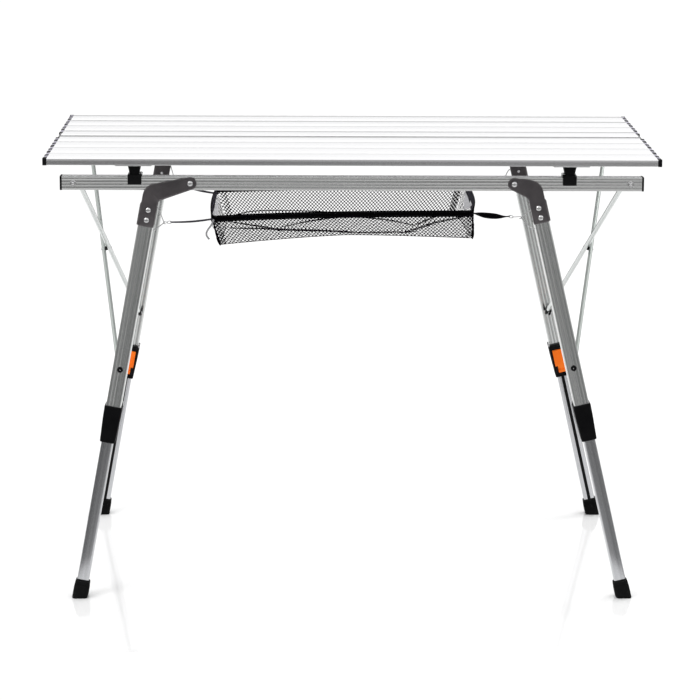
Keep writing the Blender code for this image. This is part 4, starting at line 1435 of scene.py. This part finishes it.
def folded_shift(point, side, leg):
    """How far a point on a leg moves against the basket when the frame is folded."""
    arm = Vector((point.x - leg["side"] * PIVOT_X, 0, point.z - RAIL_Z))
    shift = Matrix.Rotation(leg["swing"], 3, "Y") @ arm - arm
    shift.y = -side * RAIL_LEAD
    return shift


def ring_and_strap(tag, side, leg):
    """Wire ring on the bracket, and the strap and hook that run to it from the basket."""
    key = tag[1]
    apex = RING_APEX[key].copy()
    apex.y *= side
    ends = [Vector(p) * MM for p in RING_ENDS[key]]
    for p in ends:
        p.y *= side
    tuck = Vector((leg["side"] * 7 * MM, side * 1.5 * MM, 0))
    loop = [
        ends[0] + tuck, ends[0], apex + (ends[0] - apex) * 0.12, apex, apex + (ends[1] - apex) * 0.12,
        ends[1], ends[1] + tuck
    ]
    make(f"wire_ring_{tag}", IDENTITY, tube(curve(loop, 5), 0.75 * MM, 10), WIRE, f"leg_{tag}")
    x = RIM_ENDS[0] if key == "l" else RIM_ENDS[1]
    corner = Vector((x - leg["side"] * 3.2 * MM, side * (BASKET_Y - 3.2 * MM), rim_z(x)))
    run = (apex - corner).normalized()
    flat = run.cross(UP).normalized()
    up = flat.cross(run).normalized()
    long = (apex - corner).length
    hook_long = (13 if key == "l" else 22) * MM
    stop = long - hook_long
    line, ups, widths = [], [], []
    twisted = key == "r"
    for i in range(25):
        t = i / 24
        line.append(corner + run * (stop * t) - UP * (1.5 * MM * math.sin(math.pi * t)))
        if twisted:
            angle = math.pi * 0.5 * (1 - math.sin(math.pi * min(1, t * 1.05)))
            widths.append(RIM_TALL * (0.35 + 0.75 * math.sin(math.pi * min(1, 0.08 + 0.87 * t)) ** 0.7))
        else:
            angle = 1.42
            widths.append(RIM_TALL * (0.4 + 0.35 * math.sin(math.pi * min(1, 0.1 + 0.8 * t)) ** 0.8))
        ups.append(up * math.cos(angle) + flat * math.sin(angle))
    strap = make(
        f"strap_tape_{tag}", IDENTITY, tape(line, ups, widths, 1.3 * MM), TAPE if twisted else TAPE_GREY,
        "basket_body", [f"strap_{tag}"]
    )
    # oval link and S hook
    last = line[-1]
    oval = []
    for k in range(17):
        a = 2 * math.pi * k / 16
        oval.append(last + run * (3.2 * MM + 4.2 * MM * math.cos(a)) + up * (1.9 * MM * math.sin(a)))
    nose = apex - run * 0.6 * MM
    s_hook = [
        last + run * 6.0 * MM - up * 1.6 * MM, last + run * 7.6 * MM - up * 0.2 * MM,
        last.lerp(nose, 0.75) + up * 0.8 * MM, nose + up * 1.4 * MM, nose + run * 1.6 * MM,
        nose - up * 1.6 * MM, nose - run * 3.0 * MM - up * 1.9 * MM
    ]
    make(
        f"strap_hook_{tag}", IDENTITY,
        joined([tube(oval, 0.55 * MM, 8), tube(curve(s_hook, 6), 0.6 * MM, 8)]), WIRE, f"leg_{tag}"
    )
    # how far the strap's end would move when the frame is folded; the strap is given a mesh of its own
    shift = folded_shift(last, side, leg)
    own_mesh(strap)


# ---------------------------------------------------------------- studio


FLOOR_HALF = 2.6
# the floor ends a little in front of the table, which cuts short what it mirrors
FLOOR_FRONT, FLOOR_REAR, FLOOR_Z = -0.46, 3.2, -0.0002
BACKDROP = 1.05
LENS, SENSOR, FAR_CLIP = 130.6, 36, 50
CAMERA_AT = (-0.06766, -3.87644, 1.24841)
# camera yaw, pitch and roll in degrees
CAMERA_TURN = (-1.0189, -13.2930, -0.3195)
# area lamps: name, place, power
LAMP_SIZE, LAMP_AIM = 1.2, Vector((0, 0, 0.5))
LAMPS = (("key", (-1.6, -1.4, 2.6), 26), ("fill", (1.9, 1.2, 2.4), 20))


def studio():
    """Glossy white floor, studio sky, two soft lamps and the camera."""
    floor = bmesh.new()
    outline = rect(-FLOOR_HALF, FLOOR_HALF, FLOOR_FRONT, FLOOR_REAR)
    floor.faces.new([floor.verts.new((x, y, FLOOR_Z)) for x, y in outline])
    mesh = bpy.data.meshes.new("studio_floor")
    floor.to_mesh(mesh)
    floor.free()
    p = Paint("studio_floor", {"Metallic": 0.0, "Roughness": 0.04, "IOR": 1.4})
    tone = p.noise(p.object, 3, 2.0)
    p.set("Base Color", p.mix(tone, (0.83, 0.83, 0.83), (0.86, 0.86, 0.86)))
    mesh.materials.append(p.mat)
    ob = bpy.data.objects.new("studio_floor", mesh)
    bpy.context.scene.collection.objects.link(ob)

    world = bpy.data.worlds.new("studio")
    bpy.context.scene.world = world
    world.use_nodes = True
    world.node_tree.nodes.clear()
    g = Graph(world.node_tree)
    # bright overhead and far below, dark in a band just under the horizon, lighter to the right
    coords = g.add("ShaderNodeTexCoord").outputs["Generated"]
    parts = g.add("ShaderNodeSeparateXYZ", {0: coords}).outputs
    over = g.span(parts["Z"], 0.11, 1.15, -0.08, 0.22, interpolation_type="SMOOTHSTEP")
    under = g.span(parts["Z"], 0.0, 0.9, -0.215, -0.31, interpolation_type="SMOOTHSTEP")
    aside = g.span(parts["X"], 0.0, 0.08, 0.02, 0.3)
    strength = g.math("ADD", g.math("MAXIMUM", over, under), aside)
    seen = g.add("ShaderNodeLightPath").outputs["Is Camera Ray"]
    strength = g.add("ShaderNodeMix", {0: seen, 2: strength, 3: BACKDROP}).outputs[0]
    back = g.add("ShaderNodeBackground", {"Color": (1, 1, 1, 1), "Strength": strength})
    g.add("ShaderNodeOutputWorld", {0: back.outputs[0]})

    for name, place, power in LAMPS:
        light = bpy.data.lights.new(name, "AREA")
        light.size = LAMP_SIZE
        light.energy = power
        lamp = bpy.data.objects.new(name, light)
        lamp.location = place
        lamp.rotation_euler = (LAMP_AIM - Vector(place)).to_track_quat("-Z", "Y").to_euler()
        bpy.context.scene.collection.objects.link(lamp)

    yaw, pitch, roll = (math.radians(a) for a in CAMERA_TURN)
    turn = Matrix.Rotation(yaw, 4, "Z") @ Matrix.Rotation(pitch, 4, "X")
    turn = turn @ Matrix.Rotation(roll, 4, "Y")
    data = bpy.data.cameras.new("camera")
    data.sensor_width = SENSOR
    data.lens = LENS
    data.clip_end = FAR_CLIP
    camera = bpy.data.objects.new("camera", data)
    camera.matrix_world = at(*CAMERA_AT) @ turn @ tip(90)
    bpy.context.scene.collection.objects.link(camera)
    bpy.context.scene.camera = camera
    bpy.context.scene.view_settings.view_transform = "Standard"


studio()
slats()
rails()
clips()
for end_key in ("l", "r"):
    lines = {}
    for row, side in (("f", -1), ("r", 1)):
        leg, tag = LEG[end_key], row + end_key
        bracket(tag, side, leg)
        upper_leg(tag, side, leg)
        collar(tag, side, leg)
        lever(tag, side, leg)
        lower_leg(tag, side, leg)
        foot(tag, side, leg)
        lines[row] = cross_bar(tag, side, leg)
        ring_and_strap(tag, side, leg)
    crossing(end_key, lines)
basket()

bpy.context.view_layer.update()
